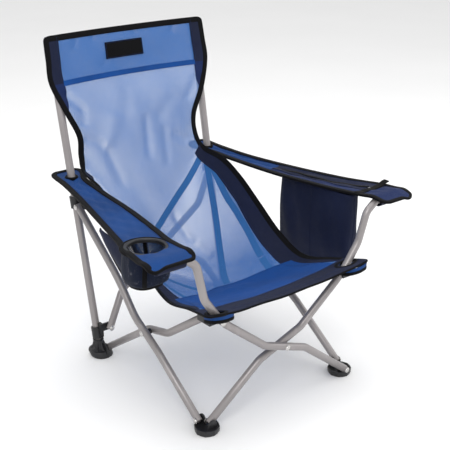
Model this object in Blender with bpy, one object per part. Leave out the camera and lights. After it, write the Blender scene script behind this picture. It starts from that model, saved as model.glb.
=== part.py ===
"""Low folding beach chair with a mesh sling, two fabric arms, a cup holder and a side pocket.

The frame is a four-way folding scissor: two leaning back posts, a crossed pair of tubes on each side,
a crossed pair at the front whose upper ends carry the arms, and a crossed pair behind the seat.
Units are metres, +Z is up and the sitter faces -Y. Lengths along Y are laid out from the front feet,
then moved back by FRONT_TO_CENTRE so that the origin is the middle of the footprint.
"""

import bmesh
import bpy
import numpy as np
from mathutils import Matrix, Vector

# ---------------------------------------------------------------- driving dimensions
FRONT_TO_CENTRE = 0.28050     # from the line of the front feet back to the origin
TUBE_R = 0.0090               # scissor and arm tubes
POST_R = 0.0095               # back posts
POST_X = 0.206                # half the post spacing at the floor
POST_Y = 0.447                # post axis at the floor
POST_LEAN_X = 0.010           # outward lean per metre of height
POST_LEAN_Y = 0.191           # backward lean per metre of height
POST_BOTTOM_Z = 0.0125
POST_TOP_Z = 0.780

SIDE_LOWER_X = 0.190          # plane of the lower side tubes
SIDE_UPPER_X = 0.216          # plane of the upper side tubes
PIVOT_REAR = (0.427, 0.026)   # lower side tube on the rear foot (y, z)
PIVOT_SIDE = (0.2256, 0.1557)  # crossing of the two side tubes
PIVOT_CORNER = (0.012, 0.280)  # lower side tube on the corner bracket
PIVOT_FRONT = (0.020, 0.022)  # upper side tube on the front foot
PIVOT_UPPER = (0.4985, 0.391)  # upper side tube on the upper collar

FRONT_X_FOOT = 0.203          # front tube pivots on the foot and on the corner bracket
FRONT_X_CORNER = 0.190
FRONT_OFFSET = {"right": 0.042, "left": 0.023}   # how far each arm's tube stands ahead of the side pivots
ARM_TUBE_S = {"right": 0.4310, "left": 0.4180}   # height of each arm tube's top leg above the foot pivots
FRONT_CROSS_S = 0.133         # height of the front crossing above the foot pivots

BRACE_X = 0.185               # rear brace pivots
BRACE_LOW_Z = 0.077
BRACE_HIGH_Z = 0.410
BRACE_OFFSET = {"right": 0.033, "left": 0.014}   # each brace's distance ahead of the post, by its lower end

FOOT_R = 0.029
FOOT_H = 0.011
FRONT_FOOT_H = 0.0085
COLLAR_R = 0.0135
COLLAR_H = 0.030
BORE_R = 0.0107

CLOTH = 0.0030                # sling thickness with its binding
ARM_Z = 0.455
CUP = (-0.319, 0.053)         # cup ring centre
CUP_R = 0.0435
CUP_WIRE = 0.0045
SIDES = {"right": -1.0, "left": 1.0}


# ---------------------------------------------------------------- scene and materials
def clear():
    """Remove every object that the file starts with."""
    for obj in list(bpy.data.objects):
        bpy.data.objects.remove(obj, do_unlink=True)
    for group in list(bpy.data.collections):
        bpy.data.collections.remove(group)


def group(name):
    made = bpy.data.collections.new(name)
    bpy.context.scene.collection.children.link(made)
    return made


clear()
CHAIR = group("folding_beach_chair")
CUTTERS = group("cutters")


def material(name, rgb, rough, metal=0.0):
    """One plain Principled material."""
    made = bpy.data.materials.new(name)
    made.use_nodes = True
    shader = made.node_tree.nodes["Principled BSDF"]
    shader.inputs["Base Color"].default_value = (*rgb, 1.0)
    shader.inputs["Roughness"].default_value = rough
    shader.inputs["Metallic"].default_value = metal
    made.diffuse_color = (*rgb, 1.0)
    return made


STEEL = material("coated_steel", (0.32, 0.30, 0.30), 0.35, 0.6)
RIVET = material("rivet_metal", (0.55, 0.55, 0.56), 0.25, 1.0)
PLASTIC = material("black_plastic", (0.02, 0.02, 0.022), 0.45)
MESH = material("sling_mesh", (0.35, 0.46, 0.70), 0.8)
BAND = material("head_band_fabric", (0.10, 0.22, 0.52), 0.8)
BLUE = material("arm_fabric", (0.03, 0.08, 0.30), 0.8)
NAVY = material("navy_fabric", (0.015, 0.02, 0.07), 0.85)
BLACK = material("black_binding", (0.01, 0.01, 0.012), 0.8)


# ---------------------------------------------------------------- placing and shaping helpers
def place(x, y, z):
    """A point laid out from the front feet, in world coordinates."""
    return (x, y - FRONT_TO_CENTRE, z)


def add(name, data, mat, where=CHAIR):
    obj = bpy.data.objects.new(name, data)
    where.objects.link(obj)
    if mat is not None:
        data.materials.append(mat)
    return obj


def hide(obj):
    """Cutters and joining shapes are working shapes, not parts."""
    obj.hide_render = True
    obj.display_type = "WIRE"
    return obj


def rounded(points, radius, steps=4):
    """A polyline with each inner corner rounded; radius is one number or one for each corner."""
    pts = [np.array(p, float) for p in points]
    out = [pts[0]]
    for i in range(1, len(pts) - 1):
        r = radius[i - 1] if isinstance(radius, (list, tuple)) else radius
        a = pts[i - 1] - pts[i]
        b = pts[i + 1] - pts[i]
        a_len = np.linalg.norm(a)
        b_len = np.linalg.norm(b)
        a = a / a_len
        b = b / b_len
        half = 0.5 * np.arccos(np.clip(np.dot(a, b), -1, 1))
        cut = min(r / np.tan(half), 0.45 * a_len, 0.45 * b_len)
        for t in np.linspace(0, 1, steps + 1):
            p = pts[i] + a * cut * (1 - t) ** 2 + b * cut * t ** 2
            out.append(p)
    out.append(pts[-1])
    return out


def tube(name, points, radius, mat=STEEL):
    """A solid round bar along world points."""
    data = bpy.data.curves.new(name, "CURVE")
    data.dimensions = "3D"
    data.bevel_depth = radius
    data.bevel_resolution = 2
    data.use_fill_caps = True
    line = data.splines.new("POLY")
    line.points.add(len(points) - 1)
    for slot, p in zip(line.points, points):
        slot.co = (*p, 1.0)
    return add(name, data, mat)


def frame_of(axis):
    """Rotation that takes +Z onto axis."""
    return Vector(axis).normalized().to_track_quat("Z", "Y").to_matrix().to_4x4()


def cylinder(name, centre, axis, radius, length, mat=None, sides=20, where=CHAIR, top=None):
    """A cylinder, or a frustum where top is given, centred on a world point."""
    data = bpy.data.meshes.new(name)
    bm = bmesh.new()
    bmesh.ops.create_cone(
        bm, cap_ends=True, segments=sides, radius1=radius, radius2=radius if top is None else top, depth=length
    )
    bmesh.ops.transform(bm, matrix=frame_of(axis), verts=bm.verts)
    bm.to_mesh(data)
    bm.free()
    obj = add(name, data, mat, where)
    obj.location = centre
    return obj


def box(name, low, high, mat=None, where=CHAIR, turn=None):
    """A box between two corners given from its middle, set at a world point by turn's matrix or its corners."""
    low = np.array(low)
    high = np.array(high)
    mid = (low + high) / 2
    data = bpy.data.meshes.new(name)
    bm = bmesh.new()
    bmesh.ops.create_cube(bm, size=1.0)
    bmesh.ops.transform(bm, matrix=Matrix.Diagonal((*(high - low), 1.0)), verts=bm.verts)
    if turn is not None:
        bmesh.ops.transform(bm, matrix=turn, verts=bm.verts)
    bm.to_mesh(data)
    bm.free()
    obj = add(name, data, mat, where)
    obj.location = mid
    return obj


def combine(obj, others, kind="UNION"):
    """Join shapes to a part, or cut them out of it."""
    for i, other in enumerate(others):
        hide(other)
        step = obj.modifiers.new(f"{kind.lower()}_{i}", "BOOLEAN")
        step.operation = kind
        step.solver = "EXACT"
        step.object = other
    return obj


def spline(keys, t):
    """Catmull-Rom through the rows of keys; t runs from 0 to 1 over them."""
    keys = np.array(keys, float)
    keys = np.vstack([2 * keys[0] - keys[1], keys, 2 * keys[-1] - keys[-2]])
    span = len(keys) - 3
    t = np.clip(np.asarray(t, float), 0, 1) * span
    i = np.minimum(t.astype(int), span - 1)
    f = (t - i)[..., None]
    a, b, c, d = keys[i], keys[i + 1], keys[i + 2], keys[i + 3]
    return 0.5 * (2 * b + (c - a) * f + (2 * a - 5 * b + 4 * c - d) * f**2 + (3 * b - a - 3 * c + d) * f**3)


def thick(name, grid, depth, mat, lift=0.0):
    """A closed sheet of even depth about a grid of world points; lift moves it along its normal."""
    grid = np.array(grid, float)
    du = np.gradient(grid, axis=0)
    dv = np.gradient(grid, axis=1)
    normal = np.cross(du, dv)
    normal /= np.linalg.norm(normal, axis=2, keepdims=True)
    rows, cols = grid.shape[:2]
    top = (grid + normal * (lift + depth / 2)).reshape(-1, 3)
    low = (grid + normal * (lift - depth / 2)).reshape(-1, 3)
    size = rows * cols
    faces = []
    for i in range(rows - 1):
        for j in range(cols - 1):
            a = i * cols + j
            faces.append((a, a + cols, a + cols + 1, a + 1))
            faces.append((a + size, a + size + 1, a + size + cols + 1, a + size + cols))
    rim = [j for j in range(cols)]
    rim += [i * cols + cols - 1 for i in range(1, rows)]
    rim += [(rows - 1) * cols + j for j in range(cols - 2, -1, -1)]
    rim += [i * cols for i in range(rows - 2, 0, -1)]
    for a, b in zip(rim, rim[1:] + rim[:1]):
        faces.append((a, b, b + size, a + size))
    data = bpy.data.meshes.new(name)
    data.from_pydata(np.vstack([top, low]).tolist(), [], faces)
    bm = bmesh.new()
    bm.from_mesh(data)
    bmesh.ops.recalc_face_normals(bm, faces=bm.faces)
    bm.to_mesh(data)
    bm.free()
    return add(name, data, mat)


def origin_at(obj, point):
    """Move the origin of a part to a world point without moving its surface."""
    shift = Vector(point) - obj.matrix_world.translation
    if obj.type == "CURVE":
        for line in obj.data.splines:
            for p in line.points:
                p.co = (*(Vector(p.co[:3]) - Vector(point)), 1.0)
        obj.location = point
        return obj
    obj.data.transform(Matrix.Translation(-(shift)))
    obj.location = Vector(obj.location) + shift
    return obj


# ---------------------------------------------------------------- lines that the frame is hung from
def post_point(side, z, ahead=0.0, inward=0.0):
    """A world point on a post's axis at height z, moved ahead of it or inward from it."""
    s = SIDES[side]
    x = s * (POST_X + POST_LEAN_X * z - inward)
    return place(x, POST_Y + POST_LEAN_Y * z - ahead, z)


def post_axis(side):
    return Vector((SIDES[side] * POST_LEAN_X, POST_LEAN_Y, 1.0)).normalized()


POST_FRONT = Vector((0, -1.0, POST_LEAN_Y)).normalized()
FRONT_UP = np.array([PIVOT_CORNER[0] - PIVOT_FRONT[0], PIVOT_CORNER[1] - PIVOT_FRONT[1]])
FRONT_S = float(np.linalg.norm(FRONT_UP))
FRONT_UP = FRONT_UP / FRONT_S
FRONT_AHEAD = np.array([-FRONT_UP[1], FRONT_UP[0]])


def front_point(x, s, ahead):
    """A world point in a front tube's plane, s above the foot pivot."""
    y, z = np.array(PIVOT_FRONT) + FRONT_UP * s + FRONT_AHEAD * ahead
    return place(x, y, z)


def side_points(side, plane, points):
    return [place(SIDES[side] * plane, y, z) for y, z in points]


def along(a, b, extra):
    """The point extra beyond b on the line from a to b."""
    a = np.array(a, float)
    b = np.array(b, float)
    return tuple(b + (b - a) / np.linalg.norm(b - a) * extra)


def rivet(name, point, axis, gap, radius=0.0055):
    """A domed rivet head standing off a tube's surface by gap from the pivot."""
    axis = Vector(axis).normalized()
    height = 0.0026
    centre = Vector(point) + axis * (gap + 0.0004 + height / 2)
    return cylinder(name, centre, axis, radius, height, RIVET, sides=10, top=radius * 0.55)


# ---------------------------------------------------------------- frame
def back_post(side):
    low = post_point(side, POST_BOTTOM_Z)
    high = post_point(side, POST_TOP_Z)
    tube(f"post_{side}", [low, high], POST_R)
    axis = post_axis(side)
    crown = Vector(high) + axis * 0.0053
    cylinder(f"post_cap_{side}", crown, axis, 0.0102, 0.0100, PLASTIC, sides=16, top=0.0080)


def rear_foot(side):
    """A round sole with a leaning socket for the post and an inner lug for the lower side tube."""
    s = SIDES[side]
    sole_mid = place(s * 0.2035, 0.444, FOOT_H / 2)
    foot = cylinder(f"foot_rear_{side}", sole_mid, (0, 0, 1), FOOT_R, FOOT_H, PLASTIC, sides=28)
    axis = post_axis(side)
    socket = cylinder(f"rear_socket_{side}", post_point(side, 0.0245), axis, 0.0128, 0.038, sides=20, where=CUTTERS)
    y, z = PIVOT_REAR
    inner = sorted((s * 0.2000, s * 0.2045))
    lug = box(
        f"rear_lug_{side}", place(inner[0], y - 0.010, 0.004), place(inner[1], y + 0.020, z + 0.010), where=CUTTERS
    )
    bore = cylinder(
        f"rear_bore_{side}", Vector(post_point(side, POST_BOTTOM_Z - 0.0006)) + axis * 0.030, axis, BORE_R, 0.060,
        sides=20, where=CUTTERS
    )
    combine(foot, [socket, lug])
    combine(foot, [bore], "DIFFERENCE")
    rivet(f"rivet_rear_foot_{side}", place(s * SIDE_LOWER_X, y, z), (-s, 0, 0), TUBE_R)


def front_foot(side):
    """A round sole with one lug for the upper side tube and one for the crossing front tube."""
    s = SIDES[side]
    sole_mid = place(s * 0.207, 0, FRONT_FOOT_H / 2)
    foot = cylinder(f"foot_front_{side}", sole_mid, (0, 0, 1), FOOT_R, FRONT_FOOT_H, PLASTIC, sides=28)
    y, z = PIVOT_FRONT
    inner = sorted((s * 0.2020, s * 0.2060))
    side_lug = box(
        f"front_side_lug_{side}", place(inner[0], y - 0.010, 0.004), place(inner[1], y + 0.010, z + 0.010),
        where=CUTTERS
    )
    other = "left" if side == "right" else "right"
    _, ty, tz = front_point(0, 0, FRONT_OFFSET[other])
    behind = 1.0 if other == "right" else -1.0
    faces = sorted((ty + behind * (TUBE_R + 0.0005), ty + behind * (TUBE_R + 0.0045)))
    across = sorted((s * (FRONT_X_FOOT - 0.011), s * (FRONT_X_FOOT + 0.011)))
    front_lug = box(
        f"front_lug_{side}", (across[0], faces[0], 0.004), (across[1], faces[1], z + 0.010), where=CUTTERS
    )
    combine(foot, [side_lug, front_lug])
    origin_at(foot, place(s * SIDE_UPPER_X, y, z))
    rivet(f"rivet_front_foot_side_{side}", place(s * SIDE_UPPER_X, y, z), (s, 0, 0), TUBE_R)
    rivet(f"rivet_front_foot_{side}", (s * FRONT_X_FOOT, ty, tz), (0, -behind, 0), TUBE_R)


def side_lower(side):
    """Double-bent tube from the rear foot up to the seat's front corner."""
    knee = [(0.245, 0.1508), (0.167, 0.1702)]
    start = along(knee[0], PIVOT_REAR, 0.002)
    end = along(knee[1], PIVOT_CORNER, 0.0015)
    path = rounded([start, knee[0], knee[1], end], 0.06)
    obj = tube(f"side_tube_lower_{side}", side_points(side, SIDE_LOWER_X, path), TUBE_R)
    return origin_at(obj, place(SIDES[side] * SIDE_LOWER_X, *PIVOT_REAR))


def side_upper(side):
    """Double-bent tube from the front foot up to the sliding collar on the post."""
    knee = [(0.171, 0.1290), (0.264, 0.1830), (0.328, 0.2560)]
    start = along(knee[0], PIVOT_FRONT, 0.003)
    end = along(knee[2], PIVOT_UPPER, 0.004)
    path = rounded([start, knee[0], knee[1], knee[2], end], [0.06, 0.12, 0.4])
    s = SIDES[side]
    obj = tube(f"side_tube_upper_{side}", side_points(side, SIDE_UPPER_X, path), TUBE_R)
    origin_at(obj, place(s * SIDE_UPPER_X, *PIVOT_SIDE))
    gap = (SIDE_UPPER_X - SIDE_LOWER_X) / 2 - TUBE_R
    middle = place(s * (SIDE_LOWER_X + SIDE_UPPER_X) / 2, *PIVOT_SIDE)
    cylinder(f"spacer_side_{side}", middle, (1, 0, 0), 0.0070, 2 * gap - 0.0008, PLASTIC, sides=14)
    rivet(f"rivet_side_{side}", place(s * SIDE_UPPER_X, *PIVOT_SIDE), (s, 0, 0), TUBE_R)


def front_arm(side):
    """Tube from the opposite front foot, across the front, up through the seat corner and out into the arm."""
    s = SIDES[side]
    ahead = FRONT_OFFSET[side]
    top = ARM_TUBE_S[side]
    flat = [
        (-FRONT_X_FOOT, 0.0), (-0.062, 0.110), (0.062, 0.156), (FRONT_X_CORNER, FRONT_S),
        (0.2360, 0.3240), (0.2575, top - 0.022), (0.2860, top), (0.3660, top)
    ]
    start = along(flat[1], flat[0], 0.0003)
    path = rounded([start] + flat[1:], [0.05, 0.05, 0.30, 0.06, 0.030, 0.030])
    points = [front_point(s * x, h, ahead) for x, h in path]
    obj = tube(f"front_tube_{side}_arm", points, TUBE_R)
    origin_at(obj, front_point(s * FRONT_X_CORNER, FRONT_S, ahead))
    tip = front_point(s * 0.3660, top, ahead)
    cap_mid = Vector(tip) + Vector((s * 0.0023, 0, 0))
    cylinder(f"tube_cap_{side}_arm", cap_mid, (s, 0, 0), 0.0085, 0.0040, PLASTIC, sides=14, top=0.0070)


def corner_bracket(side):
    """Small moulding hidden in the seat corner: it joins the lower side tube to the front tube."""
    s = SIDES[side]
    y, z = PIVOT_CORNER
    x, ty, tz = front_point(s * FRONT_X_CORNER, FRONT_S, FRONT_OFFSET[side])
    behind = 1.0 if side == "right" else -1.0
    faces = sorted((ty + behind * (TUBE_R + 0.0006), ty + behind * (TUBE_R + 0.0046)))
    across = sorted((s * 0.1800, s * 0.2104))
    tab = (across[0], faces[0], z - 0.0088), (across[1], faces[1], z + 0.0056)
    wing_x = sorted((s * 0.2084, s * 0.2124))
    wing = (wing_x[0], faces[0] + 0.0012, z - 0.010), (wing_x[1], place(0, y + 0.012, 0)[1], z + 0.0068)
    obj = box(f"corner_bracket_{side}", *wing, PLASTIC)
    combine(obj, [box(f"bracket_tab_{side}", *tab, where=CUTTERS)])
    origin_at(obj, place(s * SIDE_LOWER_X, y, z))
    rivet(f"rivet_corner_side_{side}", place(s * SIDE_LOWER_X, y, z), (-s, 0, 0), TUBE_R)
    rivet(f"rivet_corner_front_{side}", (x, ty, tz), (0, -behind, 0), TUBE_R)


def brace_point(side, x, z, ahead):
    """A world point in a rear brace's plane, parallel to the plane of the posts."""
    return place(x, POST_Y + POST_LEAN_Y * z - ahead, z)


def rear_brace(side):
    """Tube behind the seat from this side's lower collar to the other side's upper collar."""
    s = SIDES[side]
    ahead = BRACE_OFFSET[side]
    middle = (BRACE_LOW_Z + BRACE_HIGH_Z) / 2
    flat = [
        (BRACE_X, BRACE_LOW_Z), (0.135, middle - 0.082), (-0.135, middle + 0.082), (-BRACE_X, BRACE_HIGH_Z)
    ]
    start = along(flat[1], flat[0], 0.003)
    end = along(flat[2], flat[3], 0.001)
    path = rounded([start, flat[1], flat[2], end], 0.05)
    points = [brace_point(side, s * x, z, ahead) for x, z in path]
    obj = tube(f"rear_brace_{side}_low", points, TUBE_R)
    origin_at(obj, brace_point(side, s * BRACE_X, BRACE_LOW_Z, ahead))


def collar(name, side, z, plates):
    """A short sleeve that slides on the post, with flat lugs joined to it."""
    axis = post_axis(side)
    mid = post_point(side, z)
    obj = cylinder(name, mid, axis, COLLAR_R, COLLAR_H, PLASTIC, sides=24)
    shapes = []
    for i, (x_near, x_far, near, far, low, high) in enumerate(plates):
        s = SIDES[side]
        xs = sorted((s * x_near, s * x_far))
        y0 = POST_Y + POST_LEAN_Y * z
        ys = sorted((place(0, y0 - near, 0)[1], place(0, y0 - far, 0)[1]))
        shapes.append(box(f"{name}_lug_{i}", (xs[0], ys[0], z + low), (xs[1], ys[1], z + high), where=CUTTERS))
    combine(obj, shapes)
    bore = cylinder(f"{name}_bore", mid, axis, BORE_R, 0.080, sides=24, where=CUTTERS)
    combine(obj, [bore], "DIFFERENCE")
    return origin_at(obj, mid)


def lower_collar(side):
    """Slides a little on the post and carries the lower end of this side's rear brace."""
    ahead = BRACE_OFFSET[side]
    z = 0.0600
    rise = BRACE_LOW_Z - z
    shift = POST_LEAN_Y * rise
    back = ahead - TUBE_R - 0.0028 - shift
    plate = (BRACE_X - 0.010, POST_X + 0.001, back - 0.0045, back, rise - 0.011, rise + 0.009)
    bridge = (POST_X - 0.0085, POST_X + 0.001, 0.0, back, -0.010, rise + 0.009)
    collar(f"collar_lower_{side}", side, z, [plate, bridge] if side == "right" else [plate])
    pivot = brace_point(side, SIDES[side] * BRACE_X, BRACE_LOW_Z, ahead)
    rivet(f"rivet_brace_low_{side}", pivot, POST_FRONT, TUBE_R)


def upper_collar(side):
    """Slides the full fold on the post; carries the upper side tube and the other side's rear brace."""
    other = "left" if side == "right" else "right"
    ahead = BRACE_OFFSET[other]
    z = 0.3960
    y, pz = PIVOT_UPPER
    post_y = POST_Y + POST_LEAN_Y * z
    reach = post_y - y
    rise = BRACE_HIGH_Z - z
    back = ahead - TUBE_R - 0.0040 - POST_LEAN_Y * rise
    arm = (0.1995, 0.2038, 0.0, reach + 0.009, -0.013, 0.006)
    plate = (BRACE_X - 0.010, POST_X + 0.001, back - 0.0045, back, rise - 0.010, rise + 0.010)
    bridge = (POST_X - 0.0060, POST_X + 0.0010, 0.0, max(back, 0.004), -0.010, rise + 0.010)
    collar(f"collar_upper_{side}", side, z, [arm, plate, bridge])
    s = SIDES[side]
    rivet(f"rivet_upper_side_{side}", place(s * SIDE_UPPER_X, y, pz), (s, 0, 0), TUBE_R)
    pivot = brace_point(side, s * BRACE_X, BRACE_HIGH_Z, ahead)
    rivet(f"rivet_brace_high_{side}", pivot, POST_FRONT, TUBE_R)


def crossings():
    """Spacers and rivets where the two front tubes and the two rear braces cross."""
    ahead = (FRONT_OFFSET["right"] + FRONT_OFFSET["left"]) / 2
    x, y, z = front_point(0, FRONT_CROSS_S, FRONT_OFFSET["right"])
    rivet("rivet_front_cross", (x, y, z), (0, -1, 0), TUBE_R)
    middle = (BRACE_LOW_Z + BRACE_HIGH_Z) / 2
    x, y, z = brace_point("right", 0, middle, BRACE_OFFSET["right"])
    rivet("rivet_rear_cross", (x, y, z), POST_FRONT, TUBE_R)


# ---------------------------------------------------------------- fabric
# Stations of the sling from its front edge to the top: centre line (y, z), side edge (y, z) and half width.
SLING = [
    (-0.052, 0.298, -0.052, 0.317, 0.240),
    (0.040, 0.270, 0.040, 0.297, 0.218),
    (0.140, 0.228, 0.140, 0.275, 0.206),
    (0.225, 0.208, 0.225, 0.308, 0.203),
    (0.310, 0.203, 0.300, 0.362, 0.200),
    (0.385, 0.222, 0.370, 0.416, 0.195),
    (0.445, 0.280, 0.430, 0.452, 0.189),
    (0.490, 0.365, 0.490, 0.466, 0.186),
    (0.522, 0.460, 0.530, 0.498, 0.184),
    (0.545, 0.550, 0.549, 0.545, 0.183),
    (0.566, 0.625, 0.572, 0.612, 0.195),
    (0.587, 0.688, 0.5925, 0.688, 0.229),
    (0.598, 0.742, 0.6025, 0.742, 0.231),
    (0.608, 0.792, 0.6120, 0.792, 0.229),
]


def sling(u, v):
    """World points of the sling: u from -1 to 1 across it, v from 0 at the front edge to 1 at the top."""
    row = spline(SLING, v)
    bow = np.abs(u) ** 2.2
    y = row[..., 0] * (1 - bow) + row[..., 2] * bow
    z = row[..., 1] * (1 - bow) + row[..., 3] * bow
    return np.stack([u * row[..., 4], y - FRONT_TO_CENTRE, z], axis=-1)


def sling_piece(name, v0, v1, rows, mat, cols=13):
    u, v = np.meshgrid(np.linspace(-1, 1, cols), np.linspace(v0, v1, rows), indexing="ij")
    return thick(name, sling(u, v), CLOTH, mat)


def sling_fabric():
    """Head band, back, rear half and front half of the seat, and the label on the band."""
    step = 1 / 13
    gap = 0.0012
    sling_piece("seat_front", 0.0, 3.0 * step - gap, 6, MESH)
    sling_piece("seat_rear", 3.0 * step + gap, 6.4 * step - gap, 8, MESH)
    sling_piece("back_panel", 6.4 * step + gap, 11.0 * step - gap, 10, MESH)
    sling_piece("head_band", 11.0 * step + gap, 1.0, 4, BAND)
    front = bpy.data.objects["seat_front"]
    holes = []
    for side, s in SIDES.items():
        low = front_point(s * FRONT_X_CORNER, FRONT_S, FRONT_OFFSET[side])
        for i, out in enumerate((0.008, 0.022)):
            centre = (low[0] + s * out, low[1] - 0.001, 0.305)
            name = f"corner_hole_{side}_{i}"
            holes.append(cylinder(name, centre, (0, 0, 1), 0.0180, 0.060, sides=18, where=CUTTERS))
    combine(front, holes, "DIFFERENCE")
    u, v = np.meshgrid(np.linspace(-0.275, 0.185, 5), np.linspace(11.68 * step, 12.32 * step, 3), indexing="ij")
    thick("head_label", sling(u, v), 0.0012, BLACK, lift=LABEL_LIFT)


LABEL_LIFT = CLOTH / 2 + 0.0010


def post_sleeve(side):
    """Half-round pocket of fabric that holds the top of a post against the head band."""
    s = SIDES[side]
    turn = np.radians(np.linspace(98, 262, 9))
    rise = np.linspace(0.700, 0.786, 3)
    a, z = np.meshgrid(turn, rise, indexing="ij")
    x = s * (POST_X + POST_LEAN_X * z) + 0.0132 * np.sin(a)
    y = POST_Y + POST_LEAN_Y * z + 0.0132 * np.cos(a) - FRONT_TO_CENTRE
    thick(f"post_sleeve_{side}", np.stack([x, y, z], axis=-1), 0.0020, NAVY)


# Stations of each arm from behind the post to the front: y, inner edge, outer edge, height above the tube.
ARM = {
    "right": [
        (0.575, 0.1925, 0.240, 0.000), (0.505, 0.1925, 0.250, 0.000), (0.400, 0.200, 0.272, -0.004),
        (0.260, 0.214, 0.306, -0.007), (0.130, 0.240, 0.342, -0.005), (0.053, 0.258, 0.372, -0.002),
        (-0.014, 0.266, 0.372, 0.000)
    ],
    "left": [
        (0.575, 0.1925, 0.236, 0.003), (0.505, 0.1925, 0.242, 0.000), (0.400, 0.199, 0.256, -0.005),
        (0.260, 0.214, 0.290, -0.008), (0.130, 0.238, 0.326, -0.009), (0.053, 0.256, 0.362, -0.010),
        (0.006, 0.266, 0.3738, -0.012)
    ],
}


def arm_grid(side, rows=15, cols=5):
    """Middle surface of an arm: narrow at the post, wide at the front sleeve, sagging a little between."""
    row = spline(ARM[side], np.linspace(0, 1, rows))
    u = np.linspace(0, 1, cols)
    x = SIDES[side] * (row[:, None, 1] * (1 - u) + row[:, None, 2] * u)
    y = np.broadcast_to(row[:, None, 0] - FRONT_TO_CENTRE, x.shape)
    z = ARM_Z + row[:, None, 3] + 0.004 * np.cos(np.pi * (u - 0.5)) - 0.004
    return np.stack([x, y, np.broadcast_to(z, x.shape)], axis=-1)


def arm(side):
    """Fabric arm: a long panel with an eyelet round the post and a sleeve round the front tube."""
    s = SIDES[side]
    obj = thick(f"arm_{side}", arm_grid(side), 0.0040, BLUE)
    ahead = FRONT_OFFSET[side]
    near = Vector(front_point(s * 0.2900, ARM_TUBE_S[side], ahead))
    far = Vector(front_point(s * 0.3610, ARM_TUBE_S[side], ahead))
    middle = (near + far) / 2
    sleeve = cylinder(f"arm_sleeve_{side}", middle, (1, 0, 0), 0.0132, 0.0710, sides=20, where=CUTTERS)
    link_low = (min(near.x, far.x) + 0.001, middle.y + 0.006, middle.z - 0.004)
    link_high = (max(near.x, far.x) - 0.001, place(0, ARM[side][-1][0] + 0.006, 0)[1], middle.z + 0.005)
    link = box(f"arm_link_{side}", link_low, link_high, where=CUTTERS)
    combine(obj, [sleeve, link])
    cuts = [cylinder(f"arm_bore_{side}", middle, (1, 0, 0), 0.0106, 0.120, sides=20, where=CUTTERS)]
    hole = post_point(side, ARM_Z)
    cuts.append(cylinder(f"arm_eyelet_{side}", hole, post_axis(side), 0.0125, 0.060, sides=20, where=CUTTERS))
    if side == "right":
        cup = (CUP[0], place(0, CUP[1], 0)[1], ARM_Z)
        cuts.append(cylinder("cup_hole", cup, (0, 0, 1), 0.0488, 0.060, sides=32, where=CUTTERS))
    else:
        low = (0.2680, place(0, 0.075, 0)[1], ARM_Z - 0.03)
        high = (0.2810, place(0, 0.215, 0)[1], ARM_Z + 0.03)
        cuts.append(box("pocket_slot", low, high, where=CUTTERS))
    combine(obj, cuts, "DIFFERENCE")


def cup_holder():
    """Wire ring and the mesh pouch that hangs from it."""
    major, minor = 28, 8
    verts = []
    faces = []
    for i in range(major):
        a = 2 * np.pi * i / major
        for j in range(minor):
            b = 2 * np.pi * j / minor
            r = CUP_R + CUP_WIRE * np.cos(b)
            verts.append(place(CUP[0] + r * np.cos(a), CUP[1] + r * np.sin(a), ARM_Z + CUP_WIRE * np.sin(b)))
            n = ((i + 1) % major) * minor
            faces.append((i * minor + j, n + j, n + (j + 1) % minor, i * minor + (j + 1) % minor))
    data = bpy.data.meshes.new("cup_ring")
    data.from_pydata(verts, [], faces)
    add("cup_ring", data, BLACK)
    top = ARM_Z - CUP_WIRE - 0.0006
    low = 0.374
    middle = place(CUP[0], CUP[1], (top + low) / 2)
    pouch = cylinder("cup_pouch", middle, (0, 0, 1), 0.0370, top - low, BLACK, sides=28, top=0.0435)
    void_mid = place(CUP[0], CUP[1], (top + low) / 2 + 0.0030)
    void = cylinder("cup_void", void_mid, (0, 0, 1), 0.0352, top - low + 0.0020, sides=28, where=CUTTERS, top=0.0418)
    combine(pouch, [void], "DIFFERENCE")


def side_pocket():
    """Deep bag under the left arm, open at the top beneath the slot."""
    low = (0.2480, place(0, 0.040, 0)[1], 0.240)
    high = (0.2960, place(0, 0.278, 0)[1], 0.4370)
    bag = box("side_pocket", low, high, NAVY)
    void = box(
        "pocket_void", (low[0] + 0.0022, low[1] + 0.0022, low[2] + 0.0022),
        (high[0] - 0.0022, high[1] - 0.0022, high[2] + 0.010), where=CUTTERS
    )
    combine(bag, [void], "DIFFERENCE")


def build():
    for side in SIDES:
        back_post(side)
        rear_foot(side)
        front_foot(side)
        side_lower(side)
        side_upper(side)
        front_arm(side)
        corner_bracket(side)
        rear_brace(side)
        lower_collar(side)
        upper_collar(side)
        post_sleeve(side)
        arm(side)
    crossings()
    sling_fabric()
    cup_holder()
    side_pocket()


build()
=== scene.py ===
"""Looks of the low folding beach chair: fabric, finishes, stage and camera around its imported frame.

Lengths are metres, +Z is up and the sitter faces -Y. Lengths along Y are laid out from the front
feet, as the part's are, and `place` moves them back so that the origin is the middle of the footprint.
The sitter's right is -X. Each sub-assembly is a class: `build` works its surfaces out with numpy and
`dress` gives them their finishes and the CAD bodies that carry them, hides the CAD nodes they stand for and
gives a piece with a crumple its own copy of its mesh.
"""

import logging
from dataclasses import dataclass, field
from enum import Enum
from typing import Iterable, Sequence

import bmesh
import bpy
import numpy as np
from mathutils import Matrix, Vector


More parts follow.
